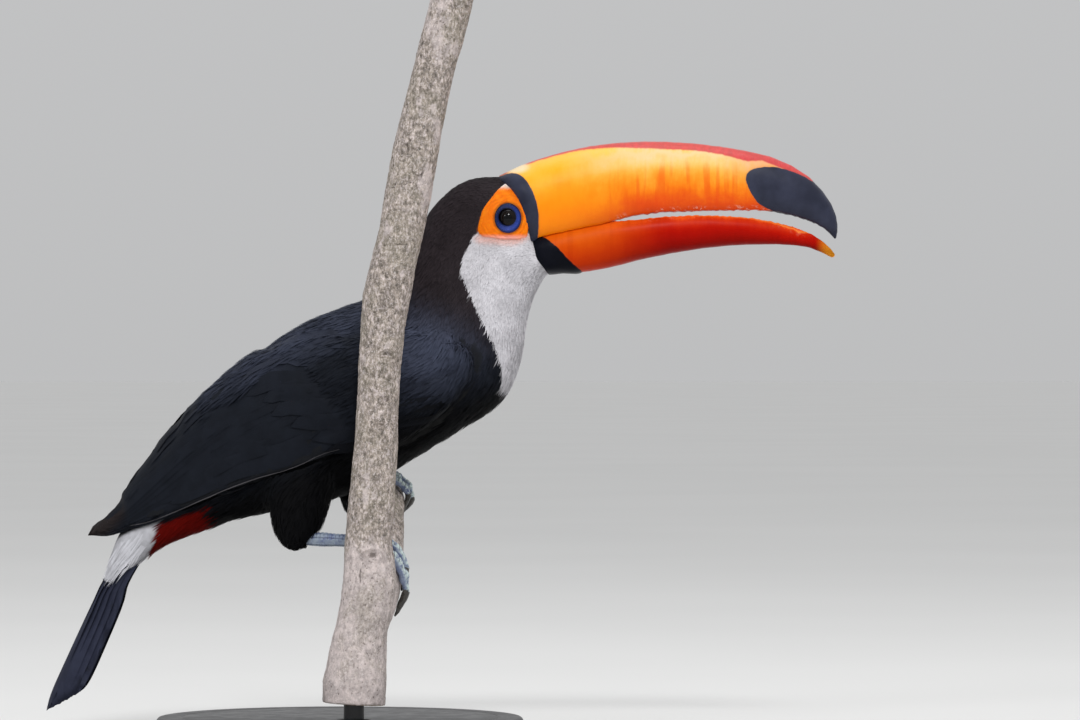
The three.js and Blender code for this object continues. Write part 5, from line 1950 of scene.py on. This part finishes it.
class TOUCAN_OT_perch(ToucanPiece, bpy.types.Operator):
    """The cut stem and its side branch, in speckled bark with scars, cracks and sawn ends"""

    bl_idname = "toucan.perch"
    bl_label = "Perch"

    STREAKS = np.array([1.0, 1.0, 0.45])  # how the grain is drawn out along the stem
    CRACKS = np.array([1.0, 1.0, 0.35])  # how the fine cracks are drawn out
    CRACK_DEPTH = 0.35 * MM
    SCAR_SHAPE = (1.5, 0.8)  # how far a scar is drawn out to the sides and pressed flat
    PALE_FOOT, PALE_TOP = (165, 75), (270, 340)  # the heights between which the bark grows paler
    CUT_FACING, CUT_REACH = (0.75, 0.9), (5.0, 2.5)  # how squarely a sawn end faces, and its depth

    def make(self):
        finish = bark_finish()
        for node in ("perch_stem", "perch_branch"):
            add_piece(f"{node}_bark", self.barked(node, node == "perch_stem"), finish, "bark", [node])

    def barked(self, node, stem):
        """The bark of the stem or of the branch."""
        perch = settings("perch")
        mesh = refined([node], 0.95 * MM, 3, swell=0.7 * MM if stem else 0.0)
        places, normals = surface_of(mesh)
        cut = self.sawn(places, normals, stem)
        streaky = places * self.STREAKS
        coarse = lumps(places, 19 * MM) + 0.5 * lumps(streaky, 9 * MM, 2)
        grain = lumps(streaky, 2.6 * MM, 3) + 0.6 * lumps(places, 1.4 * MM, 4)
        proud = perch.swell * 0.6 * coarse + perch.grain * 0.8 * grain
        crack = np.zeros(len(places))
        if stem:
            raised, crack = self.scars(places, normals)
            proud += raised
        lines = np.abs(lumps(places * self.CRACKS, 6.5 * MM, 8))
        fine = smoothstep(0.05, 0.0, lines) * smoothstep(0.1, 0.4, lumps(places, 24 * MM, 9))
        proud -= self.CRACK_DEPTH * fine
        crack = np.maximum(crack, 0.8 * fine)
        proud = np.where(cut > 0.3, 0.1 * MM * grain, proud)
        places += normals * proud[:, None]
        put_points(mesh, places)
        z = places[:, 2] / MM
        give_values(mesh, "pale", smoothstep(*self.PALE_FOOT, z) + 0.15 * smoothstep(*self.PALE_TOP, z))
        give_values(mesh, "cut", cut)
        give_values(mesh, "crack", crack * (1 - cut))
        upper_end = places[:, 2] > places[:, 2].mean()
        middle, rings = places[0], np.zeros(len(places))
        for part in (upper_end, ~upper_end):
            chosen = part & (cut > 0.5)
            middle = places[chosen].mean(axis=0) if chosen.any() else middle
            rings = np.where(part, np.linalg.norm(places - middle, axis=1), rings)
        give_values(mesh, "ring", rings + 0.6 * MM * lumps(places, 7 * MM, 7))
        return mesh

    def sawn(self, places, normals, stem):
        """From 0 on the bark to 1 on a sawn end: both ends of the stem, and the branch's outer one."""
        along = places[:, 2] if stem else places[:, 1]
        reach = along.max() - along
        if stem:
            reach = np.minimum(along - along.min(), reach)
        facing = np.abs(normals[:, 2] if stem else normals @ self.branch_end())
        return smoothstep(*self.CUT_FACING, facing) * smoothstep(*self.CUT_REACH, reach / MM)

    def scars(self, places, normals):
        """How far the scars raise the bark, and how cracked they are."""
        raised, crack = np.zeros((2, len(places)))
        front = smoothstep(0.1, 0.6, -normals[:, 1])
        ragged = 0.9 * lumps(places, 3 * MM, 6)
        broad, tall = self.SCAR_SHAPE
        for x, z, wide in SCARS:
            away = np.hypot((places[:, 0] / MM - x) / broad, (places[:, 2] / MM - z) / tall) + ragged
            rim = np.exp(-(((away - wide * 0.62) / (wide * 0.22)) ** 2)) * front
            pit = smoothstep(wide * 0.42, wide * 0.16, away) * front
            raised += (0.75 * rim - 0.9 * pit) * MM * wide / 5
            crack = np.maximum(crack, np.maximum(0.6 * pit, 0.4 * rim))
        return raised, crack

    def branch_end(self):
        """The way the branch's cut end faces."""
        (y0, z0), (y1, z1) = BRANCH_AXIS[-2:]
        return unit(np.array([0.0, y1 - y0, z1 - z0]))


class TOUCAN_OT_stand(ToucanPiece, bpy.types.Operator):
    """The round display base with its softened edge, and the rod that carries the stem"""

    bl_idname = "toucan.stand"
    bl_label = "Stand"

    AROUND = 128
    FOOT = 1.2 * MM  # the bevel of the base's lower edge
    GROOVE = [(14 * MM, 0.0), (15 * MM, 0.5 * MM), (16 * MM, 0.0)]  # [from the base's edge, depth]
    # The collar round the rod's foot: [share of the rod's radius, height].
    COLLAR = [(1.7, 13.9 * MM), (1.7, 16.2 * MM), (1.5, 16.8 * MM), (1.0, 16.8 * MM)]

    def make(self):
        finish = stand_finish()
        low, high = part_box("stand_base")
        radius, top = high.x, high.z
        soft = settings("perch").bevel
        turns = np.linspace(0, math.pi / 2, 7)
        profile = [(radius - self.FOOT, low.z), (radius, low.z + self.FOOT)]
        profile += [(radius - soft + soft * math.cos(a), top - soft + soft * math.sin(a)) for a in turns]
        profile += [(radius - inward, top - deep) for inward, deep in self.GROOVE]
        mesh = self.turned("base", profile, (0, 0))
        add_piece("stand_base_painted", mesh, finish, "stand", ["stand_base"])
        low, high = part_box("stand_rod")
        radius, middle = (high.x - low.x) / 2, (low + high) / 2
        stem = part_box("perch_stem")[0].z
        profile = [(radius * share, height) for share, height in self.COLLAR]
        profile += [(radius, stem - 0.1 * MM), (radius * 0.9, stem + 0.3 * MM)]
        mesh = self.turned("rod", profile, (middle.x, middle.y))
        add_piece("stand_rod_painted", mesh, finish, "stand", ["stand_rod"])

    def turned(self, name, profile, middle):
        """A closed round form from a profile of [radius, height]."""
        turns = np.linspace(0, 2 * math.pi, self.AROUND, endpoint=False)
        radii, heights = np.array(profile).T
        x = middle[0] + radii[:, None] * np.cos(turns)
        y = middle[1] + radii[:, None] * np.sin(turns)
        z = np.repeat(heights[:, None], self.AROUND, 1)
        points = np.stack([x, y, z], -1).reshape(-1, 3)
        quads, index = ring_faces(len(profile), self.AROUND)
        caps = [index[0][::-1][None], index[-1][None]]
        mesh = new_mesh(name, points, [quads, *caps])
        mesh.set_sharp_from_angle(angle=math.radians(40))
        return mesh


LAMP_AIM = Vector((0.05, 0.0, 0.25))
LAMPS = [
    {"name": "key", "place": (0.5, -2.6, 2.4), "size": 0.62, "power": 48},
    {"name": "fill", "place": (-1.7, -2.6, 1.8), "size": 0.7, "power": 13},
    {"name": "crown", "place": (0.2, 0.2, 2.8), "size": 1.6, "power": 20},
]


class TOUCAN_OT_stage(ToucanPiece, bpy.types.Operator):
    """The floor, the soft lamps and the camera"""

    bl_idname = "toucan.stage"
    bl_label = "Stage"

    def make(self):
        stage = settings("stage")
        shape = bmesh.new()
        bmesh.ops.create_circle(shape, cap_ends=True, segments=96, radius=60.0)
        mesh = bpy.data.meshes.new("floor")
        shape.to_mesh(mesh)
        shape.free()
        mesh.materials.append(floor_finish())
        placed("floor", mesh)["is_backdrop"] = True
        self.light()
        lens = bpy.data.cameras.new("camera")
        lens.lens = stage.lens
        lens.sensor_width = 36.0
        lens.clip_end = 200.0
        camera = placed("camera", lens)
        camera.location = (stage.aim_x, -stage.distance, stage.aim_z)
        camera.rotation_euler = (math.radians(90), 0, 0)
        bpy.context.scene.camera = camera

    def light(self):
        world = bpy.data.worlds.new("studio")
        world.use_nodes = True
        tree, stage = world.node_tree, settings("stage")
        sky = tree.nodes["Background"]
        sky.inputs["Color"].default_value = (0.985, 0.99, 1.0, 1.0)
        way = tree.nodes.new("ShaderNodeTexCoord")
        parts = tree.nodes.new("ShaderNodeSeparateXYZ")
        rise = tree.nodes.new("ShaderNodeMapRange")
        rise.inputs["To Min"].default_value = stage.horizon
        rise.inputs["To Max"].default_value = stage.zenith
        tree.links.new(way.outputs["Generated"], parts.inputs[0])
        tree.links.new(parts.outputs["Z"], rise.inputs["Value"])
        tree.links.new(rise.outputs[0], sky.inputs["Strength"])
        bpy.context.scene.world = world
        bpy.context.scene.view_settings.view_transform = "Standard"
        for lamp in LAMPS:
            area = bpy.data.lights.new(lamp["name"], "AREA")
            area.shape = "DISK"
            area.size = lamp["size"]
            area.energy = lamp["power"]
            light = placed(lamp["name"], area)
            light.location = lamp["place"]
            light.rotation_euler = (LAMP_AIM - light.location).to_track_quat("-Z", "Y").to_euler()


class TOUCAN_PT_pieces(bpy.types.Panel):
    """Lists the pieces of the toucan in the order of making"""

    bl_idname = "TOUCAN_PT_pieces"
    bl_label = "Toucan"
    bl_space_type = "VIEW_3D"
    bl_region_type = "UI"
    bl_category = "Toucan"

    def draw(self, context):
        for piece in PIECES:
            self.layout.operator(piece.bl_idname)
        for kind, group in GROUPS.items():
            box = self.layout.box()
            box.label(text=kind.capitalize())
            for field in group.__annotations__:
                box.prop(settings(kind), field)


GROUPS = {
    "plumage": PlumageSettings,
    "face": FaceSettings,
    "bill": BillSettings,
    "legs": LegSettings,
    "perch": PerchSettings,
    "stage": StageSettings,
}
PIECES = (
    TOUCAN_OT_stage,
    TOUCAN_OT_skin,
    TOUCAN_OT_bill,
    TOUCAN_OT_eyes,
    TOUCAN_OT_coat,
    TOUCAN_OT_wings,
    TOUCAN_OT_tail,
    TOUCAN_OT_legs,
    TOUCAN_OT_perch,
    TOUCAN_OT_stand,
)


def register():
    for made in (*GROUPS.values(), *PIECES, TOUCAN_PT_pieces):
        bpy.utils.register_class(made)
    for kind, group in GROUPS.items():
        setattr(bpy.types.Scene, f"toucan_{kind}", PointerProperty(type=group))


def unregister():
    for kind in GROUPS:
        delattr(bpy.types.Scene, f"toucan_{kind}")
    for made in reversed((*GROUPS.values(), *PIECES, TOUCAN_PT_pieces)):
        bpy.utils.unregister_class(made)


def main():
    """Registers the classes, makes the pieces in order and works out both boxes."""
    register()
    for piece in PIECES:
        family, name = piece.bl_idname.split(".")
        getattr(getattr(bpy.ops, family), name)()
    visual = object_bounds()
    boxes = {"cad": CAD_BOX, "visual": visual}
    {key: [list(corner) for corner in box] for key, box in boxes.items()}


if __name__ == "__main__":
    main()
